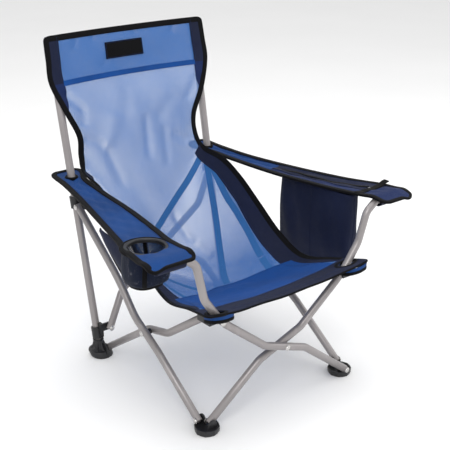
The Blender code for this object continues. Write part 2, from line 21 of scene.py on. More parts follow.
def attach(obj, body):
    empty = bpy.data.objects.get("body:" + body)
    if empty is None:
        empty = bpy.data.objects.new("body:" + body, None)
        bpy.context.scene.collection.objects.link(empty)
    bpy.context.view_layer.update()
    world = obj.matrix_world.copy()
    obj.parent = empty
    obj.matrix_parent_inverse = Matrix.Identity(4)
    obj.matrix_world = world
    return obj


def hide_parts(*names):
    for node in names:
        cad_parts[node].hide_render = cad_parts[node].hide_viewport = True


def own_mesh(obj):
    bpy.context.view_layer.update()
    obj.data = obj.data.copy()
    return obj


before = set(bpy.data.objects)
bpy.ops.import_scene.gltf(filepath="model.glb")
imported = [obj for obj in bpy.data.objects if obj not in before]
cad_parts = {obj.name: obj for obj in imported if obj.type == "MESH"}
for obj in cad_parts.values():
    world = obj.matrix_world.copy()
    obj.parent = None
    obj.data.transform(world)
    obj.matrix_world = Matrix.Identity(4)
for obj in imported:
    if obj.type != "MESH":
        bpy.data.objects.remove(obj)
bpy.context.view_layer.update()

LOG = logging.getLogger("beach_chair")
Array = np.ndarray
Made = tuple[bpy.types.Object, Array | None]

# ---------------------------------------------------------------- driving dimensions, as in the part
FRONT_TO_CENTRE = 0.28050
TUBE_R = 0.0090
POST_R = 0.0095
POST_X, POST_Y = 0.206, 0.447
POST_LEAN_X, POST_LEAN_Y = 0.010, 0.191
POST_BOTTOM_Z, POST_TOP_Z = 0.0125, 0.780
SIDE_LOWER_X, SIDE_UPPER_X = 0.190, 0.216
PIVOT_REAR = (0.427, 0.026)
PIVOT_SIDE = (0.2256, 0.1557)
PIVOT_CORNER = (0.012, 0.280)
PIVOT_FRONT = (0.020, 0.022)
PIVOT_UPPER = (0.4985, 0.391)
FRONT_X_FOOT, FRONT_X_CORNER = 0.203, 0.190
FRONT_OFFSET = {"right": 0.042, "left": 0.023}
ARM_TUBE_S = {"right": 0.4310, "left": 0.4180}
FRONT_CROSS_S = 0.133
BRACE_X, BRACE_LOW_Z, BRACE_HIGH_Z = 0.185, 0.077, 0.410
BRACE_OFFSET = {"right": 0.033, "left": 0.014}
FOOT_R = 0.029
ARM_Z = 0.455
CUP = (-0.319, 0.053)
SIDES = {"right": -1.0, "left": 1.0}
OTHER = {"right": "left", "left": "right"}


# ---------------------------------------------------------------- numbers and curves
def place(x: Array | float, y: Array | float, z: Array | float) -> Array:
    """Points laid out from the front feet, in the frame's coordinates."""
    return np.stack(np.broadcast_arrays(np.asarray(x, float), np.asarray(y, float) - FRONT_TO_CENTRE, z), -1)


def unit(v: Array) -> Array:
    """Each vector divided by its length."""
    v = np.asarray(v, float)
    return v / np.maximum(np.linalg.norm(v, axis=-1, keepdims=True), 1e-12)


def smooth(t: Array | float) -> Array:
    """The curve 3t^2 - 2t^3 between 0 and 1, level at both ends."""
    t = np.clip(t, 0.0, 1.0)
    return t * t * (3 - 2 * t)


def run_length(path: Array) -> Array:
    """Distance along a path to each of its points."""
    return np.concatenate([[0.0], np.cumsum(np.linalg.norm(np.diff(path, axis=0), axis=1))])


def resample(path: Array, step: float) -> Array:
    """Points of the path's own polyline at even steps, with both ends kept."""
    s = run_length(path)
    t = np.linspace(0, s[-1], max(2, int(round(s[-1] / step)) + 1))
    return np.stack([np.interp(t, s, path[:, k]) for k in range(path.shape[1])], -1)


def spline(keys: Sequence[Sequence[float]], t: Array) -> Array:
    """Catmull-Rom curve through the rows of keys.

    Args:
        keys: one row of values for each station.
        t: places from 0 to 1, evenly over the stations.

    Returns:
        One row of values for each place.
    """
    k = np.array(keys, float)
    k = np.vstack([2 * k[0] - k[1], k, 2 * k[-1] - k[-2]])
    span = len(k) - 3
    t = np.clip(np.asarray(t, float), 0, 1) * span
    i = np.minimum(t.astype(int), span - 1)
    f = (t - i)[..., None]
    a, b, c, d = k[i], k[i + 1], k[i + 2], k[i + 3]
    return 0.5 * (2 * b + (c - a) * f + (2 * a - 5 * b + 4 * c - d) * f**2 + (3 * b - a - 3 * c + d) * f**3)


def rounded(points: Sequence[Sequence[float]], radius: float | Sequence[float], steps: int = 12) -> Array:
    """A polyline whose inner corners are quadratic Bezier curves.

    Args:
        points: the corners.
        radius: one rounding radius, or one for each inner corner.
        steps: pieces of each curve.

    Returns:
        The points of the rounded line.
    """
    pts = [np.array(p, float) for p in points]
    radii = np.broadcast_to(radius, (len(pts) - 2,))
    t = np.linspace(0, 1, steps + 1)[:, None]
    out = [pts[0][None]]
    for before, corner, after, r in zip(pts, pts[1:], pts[2:], radii):
        a, b = before - corner, after - corner
        a_len, b_len = np.linalg.norm(a), np.linalg.norm(b)
        half = 0.5 * np.arccos(np.clip(a @ b / (a_len * b_len), -1, 1))
        cut = min(r / np.tan(half), 0.45 * a_len, 0.45 * b_len)
        out.append(corner + a / a_len * cut * (1 - t) ** 2 + b / b_len * cut * t**2)
    out.append(pts[-1][None])
    return np.concatenate(out)


def beyond(a: Sequence[float], b: Sequence[float], extra: float) -> tuple[float, ...]:
    """The point extra beyond b on the line from a to b."""
    a, b = np.array(a, float), np.array(b, float)
    return tuple(b + unit(b - a) * extra)


# ---------------------------------------------------------------- lines that the frame is hung from
def post_point(side: str, z: Array | float) -> Array:
    """Points on a post's axis at heights z."""
    z = np.asarray(z, float)
    return place(SIDES[side] * (POST_X + POST_LEAN_X * z), POST_Y + POST_LEAN_Y * z, z)


def post_axis(side: str) -> Array:
    """Direction of a post, upwards."""
    return unit(np.array([SIDES[side] * POST_LEAN_X, POST_LEAN_Y, 1.0]))


POST_FRONT = unit(np.array([0.0, -1.0, POST_LEAN_Y]))
FRONT_RISE = np.array(PIVOT_CORNER) - np.array(PIVOT_FRONT)
FRONT_S = float(np.linalg.norm(FRONT_RISE))
FRONT_UP = FRONT_RISE / FRONT_S
FRONT_AHEAD = np.array([-FRONT_UP[1], FRONT_UP[0]])


def front_point(x: float, s: float, ahead: float) -> Array:
    """A point of a front tube's plane, s above the foot pivot."""
    y, z = np.array(PIVOT_FRONT) + FRONT_UP * s + FRONT_AHEAD * ahead
    return place(x, y, z)


def brace_point(x: float, z: float, ahead: float) -> Array:
    """A point of a rear brace's plane, parallel to the plane of the posts."""
    return place(x, POST_Y + POST_LEAN_Y * z - ahead, z)


# ---------------------------------------------------------------- meshes from arrays
def quads(rows: int, cols: int, wrap_cols: bool = False, wrap_rows: bool = False) -> Array:
    """Corner numbers of the four-sided faces of a grid of points.

    Args:
        rows: points along the first direction.
        cols: points along the second.
        wrap_cols: whether the second direction closes on itself.
        wrap_rows: whether the first does.

    Returns:
        Four corner numbers for each face.
    """
    i = np.arange(rows if wrap_rows else rows - 1)[:, None]
    j = np.arange(cols if wrap_cols else cols - 1)[None, :]
    i2, j2 = (i + 1) % rows, (j + 1) % cols
    corners = np.broadcast_arrays(i * cols + j, i2 * cols + j, i2 * cols + j2, i * cols + j2)
    return np.stack(corners, -1).reshape(-1, 4)


def mesh_object(
    name: str, points: Array, faces: Iterable, uv: Array | None = None, sharp: float = 50.0
) -> bpy.types.Object:
    """A smooth closed mesh with its faces outwards and, where given, a cloth map in metres.

    Args:
        name: the piece's name.
        points: its corners, one row each.
        faces: rows of corner numbers.
        uv: one row for each corner.
        sharp: edges steeper than this many degrees stay crisp.

    Returns:
        The new object, at the origin.
    """
    data = bpy.data.meshes.new(name)
    data.from_pydata(np.asarray(points, float).tolist(), [], [list(f) for f in faces])
    if uv is not None:
        corner = np.empty(len(data.loops), np.int32)
        data.loops.foreach_get("vertex_index", corner)
        layer = data.uv_layers.new(name="cloth")
        layer.data.foreach_set("uv", np.asarray(uv, np.float32)[corner].ravel())
    bm = bmesh.new()
    bm.from_mesh(data)
    bmesh.ops.recalc_face_normals(bm, faces=bm.faces)
    bm.to_mesh(data)
    bm.free()
    data.shade_smooth()
    data.set_sharp_from_angle(angle=np.radians(sharp))
    obj = bpy.data.objects.new(name, data)
    bpy.context.scene.collection.objects.link(obj)
    return obj


def loft(
    name: str, rings: Array, closed: bool = False, uv: Array | None = None, sharp: float = 50.0
) -> bpy.types.Object:
    """A skin over rings of points, each joined to the next.

    Args:
        name: the piece's name.
        rings: one ring of points for each step.
        closed: whether the last ring joins the first; if not, each end is one face.
        uv: the cloth map, one row for each point.
        sharp: edges steeper than this many degrees stay crisp.

    Returns:
        The new object.
    """
    n, m = rings.shape[:2]
    faces = quads(n, m, wrap_cols=True, wrap_rows=closed).tolist()
    if not closed:
        faces += [list(range(m)), list(range((n - 1) * m, n * m))]
    flat_uv = None if uv is None else uv.reshape(-1, 2)
    return mesh_object(name, rings.reshape(-1, 3), faces, flat_uv, sharp)


def grid_normals(grid: Array) -> Array:
    """Unit normals of a grid: the cross product of its two directions."""
    return unit(np.cross(np.gradient(grid, axis=0), np.gradient(grid, axis=1)))


def shell(name: str, grid: Array, thick: float, uv: Array) -> bpy.types.Object:
    """A closed cloth of even thickness about a grid.

    Args:
        name: the piece's name.
        grid: points of its middle surface.
        thick: its thickness.
        uv: the cloth map, one row for each point of the grid.

    Returns:
        The new object.
    """
    normal = grid_normals(grid)
    rows, cols = grid.shape[:2]
    count = rows * cols
    number = np.arange(count).reshape(rows, cols)
    rim = np.concatenate([number[0, :-1], number[:-1, -1], number[-1, :0:-1], number[:0:-1, 0]])
    after = np.roll(rim, -1)
    top = quads(rows, cols)
    sides = np.stack([rim, after, after + count, rim + count], -1)
    faces = np.concatenate([top, top[:, ::-1] + count, sides])
    points = np.concatenate([(grid + normal * (s * thick / 2)).reshape(-1, 3) for s in (1, -1)])
    return mesh_object(name, points, faces, np.concatenate([uv.reshape(-1, 2)] * 2), 60.0)


def pill(a: float, b: float, power: float = 4.0, count: int = 14) -> Array:
    """A rounded-box section: |x/a|^power + |y/b|^power = 1.

    Args:
        a: half width along x.
        b: half width along y.
        power: 2 is an ellipse, more is squarer.
        count: points round it.

    Returns:
        Rows of (x, y).
    """
    t = np.arange(count) * 2 * np.pi / count
    c, s = np.cos(t), np.sin(t)
    e = 2 / power
    return np.stack([a * np.sign(c) * np.abs(c) ** e, b * np.sign(s) * np.abs(s) ** e], -1)


def sweep(
    name: str, path: Array, across: Array, up: Array, section: Array, closed: bool = False
) -> bpy.types.Object:
    """A section carried along a path: each ring is path + across * x + up * y.

    Args:
        name: the piece's name.
        path: points of the path.
        across: the direction of the section's x at each point.
        up: the direction of the section's y at each point.
        section: rows of (x, y).
        closed: whether the path closes on itself.

    Returns:
        The new object; its cloth map runs round the section and along the path.
    """
    rings = path[:, None] + across[:, None] * section[None, :, :1] + up[:, None] * section[None, :, 1:2]
    along = run_length(path)[:, None] + np.zeros(len(section))
    around = run_length(section)[None] + np.zeros((len(path), 1))
    return loft(name, rings, closed, np.stack([around, along], -1))


def pipe(name: str, path: Array, plane: Array, radius: float, sides: int = 28) -> bpy.types.Object:
    """A round tube along a flat path, with a small dome closing each end.

    Args:
        name: the piece's name.
        path: points of the centreline.
        plane: the normal of the plane that the path lies in.
        radius: the tube's radius.
        sides: points round it.

    Returns:
        The new object.
    """
    tangent = unit(np.gradient(path, axis=0))
    side = unit(np.cross(tangent, plane))
    up = np.cross(side, tangent)
    dome = np.array([[0.45, 0.0016], [0.75, 0.0013], [0.93, 0.0006]])
    first = path[0] - tangent[0] * dome[:, 1:]
    last = path[-1] + tangent[-1] * dome[::-1, 1:]
    centres = np.concatenate([first, path, last])
    radii = radius * np.concatenate([dome[:, 0], np.ones(len(path)), dome[::-1, 0]])
    take = np.concatenate([[0] * 3, np.arange(len(path)), [len(path) - 1] * 3]).astype(int)
    turn = np.arange(sides) * 2 * np.pi / sides
    spokes = side[take][:, None] * np.cos(turn)[:, None] + up[take][:, None] * np.sin(turn)[:, None]
    rings = centres[:, None] + radii[:, None, None] * spokes
    return loft(name, rings)


def turned(name: str, profile: Array, base: Array, axis: Array, sides: int = 28) -> bpy.types.Object:
    """A profile turned about an axis, with both ends closed.

    Args:
        name: the piece's name.
        profile: rows of (radius, height).
        base: the point of the axis at height 0.
        axis: its direction.
        sides: points round it.

    Returns:
        The new object.
    """
    axis = unit(axis)
    helper = np.array([0.0, 0.0, 1.0]) if abs(axis[2]) < 0.9 else np.array([1.0, 0.0, 0.0])
    a = unit(np.cross(axis, helper))
    b = np.cross(axis, a)
    turn = np.arange(sides) * 2 * np.pi / sides
    spoke = a * np.cos(turn)[:, None] + b * np.sin(turn)[:, None]
    rings = base + profile[:, None, :1] * spoke[None] + profile[:, None, 1:] * axis
    return loft(name, rings, sharp=40.0)


def cut_out(obj: bpy.types.Object, rings: Array) -> bpy.types.Object:
    """Cut a solid out of a mesh, and keep the result as its plain mesh.

    Args:
        obj: what is cut.
        rings: rings of points whose skin is the solid.

    Returns:
        The same object.
    """
    cutter = loft("cutter", rings)
    step = obj.modifiers.new("hole", "BOOLEAN")
    step.operation, step.solver, step.object = "DIFFERENCE", "EXACT", cutter
    bpy.context.view_layer.update()
    done = bpy.data.meshes.new_from_object(obj.evaluated_get(bpy.context.evaluated_depsgraph_get()))
    obj.modifiers.remove(step)
    old, obj.data = obj.data, done
    bpy.data.meshes.remove(old)
    bpy.data.objects.remove(cutter, do_unlink=True)
    obj.data.name = obj.name
    return obj


def column(centre: Array, axis: Array, a: float, b: float, reach: float, sides: int = 40) -> Array:
    """Two oval rings, which cut_out can take as a solid.

    Args:
        centre: the middle.
        axis: a direction close to Z.
        a: half width along X.
        b: half width along Y.
        reach: distance of each ring from the middle.
        sides: points of a ring.

    Returns:
        The two rings.
    """
    turn = np.arange(sides) * 2 * np.pi / sides
    oval = np.stack([a * np.cos(turn), b * np.sin(turn), 0 * turn], -1)
    return np.stack([centre + oval + unit(axis) * s for s in (-reach, reach)])


# ---------------------------------------------------------------- shading
class Sock:
    """A shader value: arithmetic on it adds Math nodes."""

    def __init__(self, bench: "Bench", socket: bpy.types.NodeSocket) -> None:
        """Wrap an output socket."""
        self.bench, self.socket = bench, socket

    def math(self, operation: str, *values: "Sock | float") -> "Sock":
        """The named operation on this value and others."""
        return self.bench.node("ShaderNodeMath", {"operation": operation}, dict(enumerate((self, *values))))

    def __add__(self, other: "Sock | float") -> "Sock":
        """Sum."""
        return self.math("ADD", other)

    __radd__ = __add__

    def __mul__(self, other: "Sock | float") -> "Sock":
        """Product."""
        return self.math("MULTIPLY", other)

    __rmul__ = __mul__

    def __sub__(self, other: "Sock | float") -> "Sock":
        """Difference."""
        return self.math("SUBTRACT", other)

    def __rsub__(self, other: float) -> "Sock":
        """Difference from a number."""
        return (self * -1.0) + other

    def sine(self) -> "Sock":
        """Sine of the value in radians."""
        return self.math("SINE")

    def size(self) -> "Sock":
        """The value without its sign."""
        return self.math("ABSOLUTE")

    def band(self, low: float, high: float) -> "Sock":
        """A smooth step from 0 at low to 1 at high."""
        return self.bench.node(
            "ShaderNodeMapRange",
            {"interpolation_type": "SMOOTHSTEP"},
            {"Value": self, "From Min": low, "From Max": high},
        )


class Bench:
    """One material's node tree and the few tools that finishes are made with."""

    def __init__(self, name: str) -> None:
        """Start a material with its Principled shader."""
        self.material = bpy.data.materials.new(name)
        self.material.use_nodes = True
        self.tree = self.material.node_tree
        self.shader = self.tree.nodes["Principled BSDF"]

    def node(
        self, kind: str, settings: dict | None = None, values: dict | None = None, output: int | str = 0
    ) -> Sock:
        """Add a node.

        Args:
            kind: its type name.
            settings: attributes, set first.
            values: a number, colour, vector or Sock for each named or numbered input.
            output: the output that is returned.

        Returns:
            That output, wrapped.
        """
        made = self.tree.nodes.new(kind)
        for key, value in (settings or {}).items():
            setattr(made, key, value)
        for key, value in (values or {}).items():
            self.feed(made.inputs[key], value)
        return Sock(self, made.outputs[output])

    def feed(self, socket: bpy.types.NodeSocket, value: "Sock | float | Sequence[float]") -> None:
        """Link a value to a socket, or set a constant on it."""
        if isinstance(value, Sock):
            self.tree.links.new(value.socket, socket)
        else:
            socket.default_value = value

    def set(self, **values: "Sock | float | Sequence[float]") -> None:
        """Feed the Principled shader's inputs; an underscore stands for a space."""
        for key, value in values.items():
            self.feed(self.shader.inputs[key.replace("_", " ")], value)

    def here(self) -> Sock:
        """Object coordinates."""
        return self.node("ShaderNodeTexCoord", output="Object")

    def cloth(self) -> tuple[Sock, Sock]:
        """The cloth map's two lengths in metres."""
        flat = self.node("ShaderNodeUVMap", {"uv_map": "cloth"})
        split = self.node("ShaderNodeSeparateXYZ", values={0: flat})
        return split, Sock(self, split.socket.node.outputs[1])

    def noise(self, scale: float, detail: float = 2.0, stretch: Sequence[float] = (1, 1, 1)) -> Sock:
        """Noise over object coordinates, from 0 to 1."""
        where = self.node("ShaderNodeMapping", values={"Vector": self.here(), "Scale": tuple(stretch)})
        return self.node("ShaderNodeTexNoise", values={"Vector": where, "Scale": scale, "Detail": detail})

    def mix(self, share: Sock | float, a: Sequence[float] | Sock, b: Sequence[float] | Sock) -> Sock:
        """A colour between a and b."""
        return self.node("ShaderNodeMix", {"data_type": "RGBA"}, {0: share, 6: a, 7: b}, 2)

    def relief(self, height: Sock) -> None:
        """Bump the surface by a height in metres."""
        bump = self.node("ShaderNodeBump", values={"Strength": 1.0, "Distance": 1.0, "Height": height})
        self.set(Normal=bump)


def srgb(r: float, g: float, b: float, alpha: float = 1.0) -> tuple[float, ...]:
    """A colour given as 0 to 255 display values, made linear."""
    c = np.array([r, g, b]) / 255
    linear = np.where(c <= 0.04045, c / 12.92, ((c + 0.055) / 1.055) ** 2.4)
    return (*linear.tolist(), alpha)


def shade(colour: Sequence[float], factor: float) -> tuple[float, ...]:
    """A lighter or darker form of a colour."""
    return (*(min(1.0, c * factor) for c in colour[:3]), 1.0)


@dataclass(frozen=True)
class PowderCoat:
    """Warm grey coated steel: fine orange peel, faint handling marks and uneven gloss."""

    name: str
    slot: str
    colour: tuple[float, ...]

    def make(self) -> bpy.types.Material:
        """Build the material."""
        bench = Bench(self.name)
        mottle = bench.noise(9.0, 3.0)
        rub = bench.noise(38.0, 4.0, (1.0, 1.0, 0.16)).band(0.56, 0.74)
        peel = bench.noise(620.0, 2.0)
        base = bench.mix(mottle, shade(self.colour, 0.86), shade(self.colour, 1.10))
        bench.set(
            Base_Color=bench.mix(rub * 0.35, base, shade(self.colour, 1.45)),
            Metallic=0.42,
            Roughness=mottle * 0.14 + rub * 0.12 + 0.30,
            Coat_Weight=0.18,
            Coat_Roughness=0.22,
        )
        bench.relief(peel * 0.00009 + rub * 0.00002)
        return bench.material


@dataclass(frozen=True)
class BareMetal:
    """Plated rivets, eyelets and the zip's pull."""

    name: str
    slot: str
    colour: tuple[float, ...]

    def make(self) -> bpy.types.Material:
        """Build the material."""
        bench = Bench(self.name)
        wear = bench.noise(260.0, 3.0)
        bench.set(
            Base_Color=bench.mix(wear, shade(self.colour, 0.75), self.colour),
            Metallic=1.0,
            Roughness=wear * 0.25 + 0.16,
        )
        bench.relief(wear * 0.00006)
        return bench.material


@dataclass(frozen=True)
class Moulded:
    """Black moulded plastic: spark-eroded grain, duller where it has been handled."""

    name: str
    slot: str
    colour: tuple[float, ...]

    def make(self) -> bpy.types.Material:
        """Build the material."""
        bench = Bench(self.name)
        grain = bench.noise(1100.0, 2.0)
        dust = bench.noise(22.0, 5.0).band(0.5, 0.8)
        bench.set(
            Base_Color=bench.mix(dust * 0.5, self.colour, shade(self.colour, 2.6)),
            Roughness=grain * 0.16 + dust * 0.18 + 0.34,
            Specular_IOR_Level=0.45,
        )
        bench.relief(grain * 0.00012)
        return bench.material


@dataclass(frozen=True)
class OpenMesh:
    """Knitted mesh: round holes on a staggered grid between soft threads.

    A hole is where sin^2 of the two diagonals of the cloth map are both high, so that rows are staggered.
    """

    name: str
    slot: str
    colour: tuple[float, ...]
    pitch: float
    hole: float
    seat: tuple[float, ...] | None = None

    def make(self) -> bpy.types.Material:
        """Build the material; where `seat` is given, the cloth's first 0.42 m takes that deeper colour."""
        bench = Bench(self.name)
        u, v = bench.cloth()
        turn = np.pi / self.pitch
        weave = ((u + v) * turn).sine() * ((u - v) * turn).sine()
        hole = weave.size().band(self.hole, self.hole + 0.16)
        cloud = bench.noise(11.0, 3.0)
        thread = bench.noise(900.0, 2.0)
        base = bench.mix(cloud, shade(self.colour, 0.90), shade(self.colour, 1.08))
        if self.seat:
            base = bench.mix((v + u * 0.25).band(0.26, 0.50), self.seat, base)
            hole = hole * ((v + u * 0.25).band(0.24, 0.46) * 0.55 + 0.45)
        bench.set(
            Base_Color=bench.mix(thread * 0.4, base, shade(self.colour, 1.35)),
            Alpha=1.0 - hole,
            Roughness=thread * 0.2 + 0.62,
            Specular_IOR_Level=0.15,
            Sheen_Weight=0.06,
            Sheen_Roughness=0.5,
        )
        bench.relief(weave.size() * -0.00035 + cloud * 0.003)
        return bench.material


@dataclass(frozen=True)
class Woven:
    """Close-woven polyester: over-and-under threads, slubs, soft puckers and a faint sheen.

    The weave's height is the product of two sines of the cloth map, a chequer of rounded floats.
    """

    name: str
    slot: str
    colour: tuple[float, ...]
    pitch: float = 0.0011
    pucker: float = 0.0016
    gloss: float = 0.62

    def make(self) -> bpy.types.Material:
        """Build the material."""
        bench = Bench(self.name)
        u, v = bench.cloth()
        turn = np.pi / self.pitch
        weave = (u * turn).sine() * (v * turn).sine()
        cloud = bench.noise(7.0, 4.0)
        slub = bench.noise(70.0, 4.0)
        pucker = bench.noise(34.0, 3.0)
        base = bench.mix(cloud.band(0.3, 0.7), shade(self.colour, 0.84), shade(self.colour, 1.16))
        bench.set(
            Base_Color=bench.mix(weave.size() * 0.35 * slub, base, shade(self.colour, 1.7)),
            Roughness=slub * 0.2 + self.gloss,
            Specular_IOR_Level=0.22,
            Sheen_Weight=0.03,
            Sheen_Roughness=0.4,
        )
        bench.relief(weave * 0.00016 + pucker * self.pucker)
        return bench.material


@dataclass(frozen=True)
class Tape:
    """Woven tape: slanting ribs across it."""

    name: str
    slot: str
    colour: tuple[float, ...]
    rib: float = 0.0016

    def make(self) -> bpy.types.Material:
        """Build the material."""
        bench = Bench(self.name)
        u, v = bench.cloth()
        ribs = ((v + u * 0.5) * (2 * np.pi / self.rib)).sine()
        fuzz = bench.noise(240.0, 4.0)
        bench.set(
            Base_Color=bench.mix(ribs.band(-0.6, 1.0) * fuzz, self.colour, shade(self.colour, 2.1)),
            Roughness=fuzz * 0.2 + 0.60,
            Specular_IOR_Level=0.08,
            Sheen_Weight=0.02,
        )
        bench.relief(ribs * 0.00013 + fuzz * 0.0003)
        return bench.material


class Finish(Enum):
    """The chair's finishes."""

    STEEL = PowderCoat("coated_steel_look", "coated_steel", srgb(144, 139, 139))
    RIVET = BareMetal("rivet_look", "rivet_metal", srgb(212, 210, 208))
    PLASTIC = Moulded("black_plastic_look", "black_plastic", srgb(26, 26, 29))
    MESH = OpenMesh("sling_mesh_look", "sling_mesh", srgb(100, 134, 188), 0.0026, 0.39, srgb(36, 88, 154))
    BAND = OpenMesh("head_band_look", "head_band_fabric", srgb(72, 114, 176), 0.0019, 0.60)
    POUCH = OpenMesh("pouch_mesh_look", "navy_fabric", srgb(10, 20, 42), 0.0034, 0.46)
    ROYAL = Woven("royal_panel_look", "arm_fabric", srgb(2, 60, 126))
    ARM = Woven("arm_fabric_look", "arm_fabric", srgb(4, 52, 108), pucker=0.0012)
    DUSK = Woven("dusk_arm_look", "arm_fabric", srgb(8, 28, 70), pucker=0.0012)
    NAVY = Woven("navy_fabric_look", "navy_fabric", srgb(10, 19, 46))
    STRAP = Tape("royal_strap_look", "arm_fabric", srgb(42, 84, 134), 0.0022)
    BLACK = Tape("black_binding_look", "black_binding", srgb(7, 7, 9))
    THREAD = Tape("thread_look", "navy_fabric", srgb(34, 50, 92), 0.0008)

    def material(self) -> bpy.types.Material:
        """The material, made once."""
        return bpy.data.materials.get(self.value.name) or self.value.make()


# ---------------------------------------------------------------- pieces and how they are carried
@dataclass(frozen=True)
class Crumple:
    """How a cloth piece gathers when the chair folds: towards anchor along axis, to keep of its width."""

    axis: tuple[float, float, float]
    anchor: tuple[float, float, float]
    keep: float


@dataclass
class Piece:
    """A finished mesh, what it is made of and what carries it."""

    obj: bpy.types.Object
    finish: Finish
    body: str
    stands_for: tuple[str, ...] = ()
    crumple: Crumple | None = None
    cut: tuple[float, float, float] | None = None
    rests_on: tuple[str, ...] = ()
    held: str = "stretched"


def cut_size(grid: Array) -> tuple[float, float, float]:
    """Size of the flat cloth that a grid was cut from, by its own arc lengths.

    Args:
        grid: points of the sheet.

    Returns:
        Width, length and area.
    """
    across = np.linalg.norm(np.diff(grid, axis=0), axis=2).sum(0).max()
    along = np.linalg.norm(np.diff(grid, axis=1), axis=2).sum(1).max()
    a, b = np.diff(grid, axis=0)[:, :-1], np.diff(grid, axis=1)[:-1]
    area = np.linalg.norm(np.cross(a, b), axis=2).sum()
    return float(across), float(along), float(min(area, across * along))


@dataclass
class Assembly:
    """A named group of pieces."""

    pieces: list[Piece] = field(default_factory=list, init=False)

    def add(self, obj: bpy.types.Object, finish: Finish, body: str, **facts) -> bpy.types.Object:
        """Note a piece and its facts for dress().

        Args:
            obj: its mesh.
            finish: its finish.
            body: the CAD body that carries it.
            **facts: more facts of the Piece.

        Returns:
            The object.
        """
        self.pieces.append(Piece(obj, finish, body, **facts))
        return obj

    def build(self) -> None:
        """Make the meshes."""
        raise NotImplementedError

    def dress(self) -> None:
        """Give each piece its finish and its body, hide the nodes it stands for, and give a piece with a
        crumple its own copy of its mesh.
        """
        for piece in self.pieces:
            piece.obj.data.materials.clear()
            piece.obj.data.materials.append(piece.finish.material())
            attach(piece.obj, piece.body)
            if piece.stands_for:
                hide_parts(*piece.stands_for)
            if piece.crumple:
                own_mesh(piece.obj)
            LOG.info("%s rides %s", piece.obj.name, piece.body)


# ---------------------------------------------------------------- steel, feet and fixings
@dataclass
class Skeleton(Assembly):
    """The ten bent tubes, with the same centrelines as the CAD tubes."""

    def build(self) -> None:
        """Posts, the two crossed tubes of each side, the front pair and the rear pair."""
        for side, s in SIDES.items():
            self.post(side)
            self.side_pair(side, s)
            self.front_tube(side, s)
            self.brace(side, s)

    def post(self, side: str) -> None:
        """A straight leaning post."""
        line = post_point(side, np.linspace(POST_BOTTOM_Z, POST_TOP_Z, 12))
        body = f"{side}_side"
        self.add(pipe(f"back_post_{side}", line, np.array([1.0, 0, 0]), POST_R), Finish.STEEL, body,
                 stands_for=(f"post_{side}",))

    def side_pair(self, side: str, s: float) -> None:
        """The lower tube from rear foot to seat corner, and the upper one from front foot to collar."""
        lower = rounded(
            [beyond((0.245, 0.1508), PIVOT_REAR, 0.002), (0.245, 0.1508), (0.167, 0.1702),
             beyond((0.167, 0.1702), PIVOT_CORNER, 0.0015)], 0.06,
        )
        upper = rounded(
            [beyond((0.171, 0.1290), PIVOT_FRONT, 0.003), (0.171, 0.1290), (0.264, 0.1830), (0.328, 0.2560),
             beyond((0.328, 0.2560), PIVOT_UPPER, 0.004)], [0.06, 0.12, 0.4],
        )
        for kind, plane, path in (("lower", SIDE_LOWER_X, lower), ("upper", SIDE_UPPER_X, upper)):
            line = place(s * plane, path[:, 0], path[:, 1])
            self.add(pipe(f"scissor_{kind}_{side}", line, np.array([1.0, 0, 0]), TUBE_R), Finish.STEEL,
                     f"side_{kind}_{side}", stands_for=(f"side_tube_{kind}_{side}",))

    def front_tube(self, side: str, s: float) -> None:
        """From the opposite front foot up through the seat corner and out under the arm."""
        top = ARM_TUBE_S[side]
        flat = [(-FRONT_X_FOOT, 0.0), (-0.062, 0.110), (0.062, 0.156), (FRONT_X_CORNER, FRONT_S),
                (0.2360, 0.3240), (0.2575, top - 0.022), (0.2860, top), (0.3660, top)]
        flat[0] = beyond(flat[1], flat[0], 0.0003)
        path = rounded(flat, [0.05, 0.05, 0.30, 0.06, 0.030, 0.030])
        line = np.array([front_point(s * x, h, FRONT_OFFSET[side]) for x, h in path])
        plane = np.array([0.0, *FRONT_AHEAD])
        self.add(pipe(f"arm_tube_{side}", line, plane, TUBE_R), Finish.STEEL, f"front_arm_{side}",
                 stands_for=(f"front_tube_{side}_arm",))

    def brace(self, side: str, s: float) -> None:
        """From this side's lower collar to the other side's upper collar."""
        middle = (BRACE_LOW_Z + BRACE_HIGH_Z) / 2
        flat = [
            (BRACE_X, BRACE_LOW_Z), (0.135, middle - 0.082),
            (-0.135, middle + 0.082), (-BRACE_X, BRACE_HIGH_Z)
        ]
        flat[0] = beyond(flat[1], flat[0], 0.003)
        flat[3] = beyond(flat[2], flat[3], 0.001)
        line = np.array([brace_point(s * x, z, BRACE_OFFSET[side]) for x, z in rounded(flat, 0.05)])
        self.add(pipe(f"rear_tube_{side}", line, POST_FRONT, TUBE_R), Finish.STEEL, f"brace_{side}",
                 stands_for=(f"rear_brace_{side}_low",))


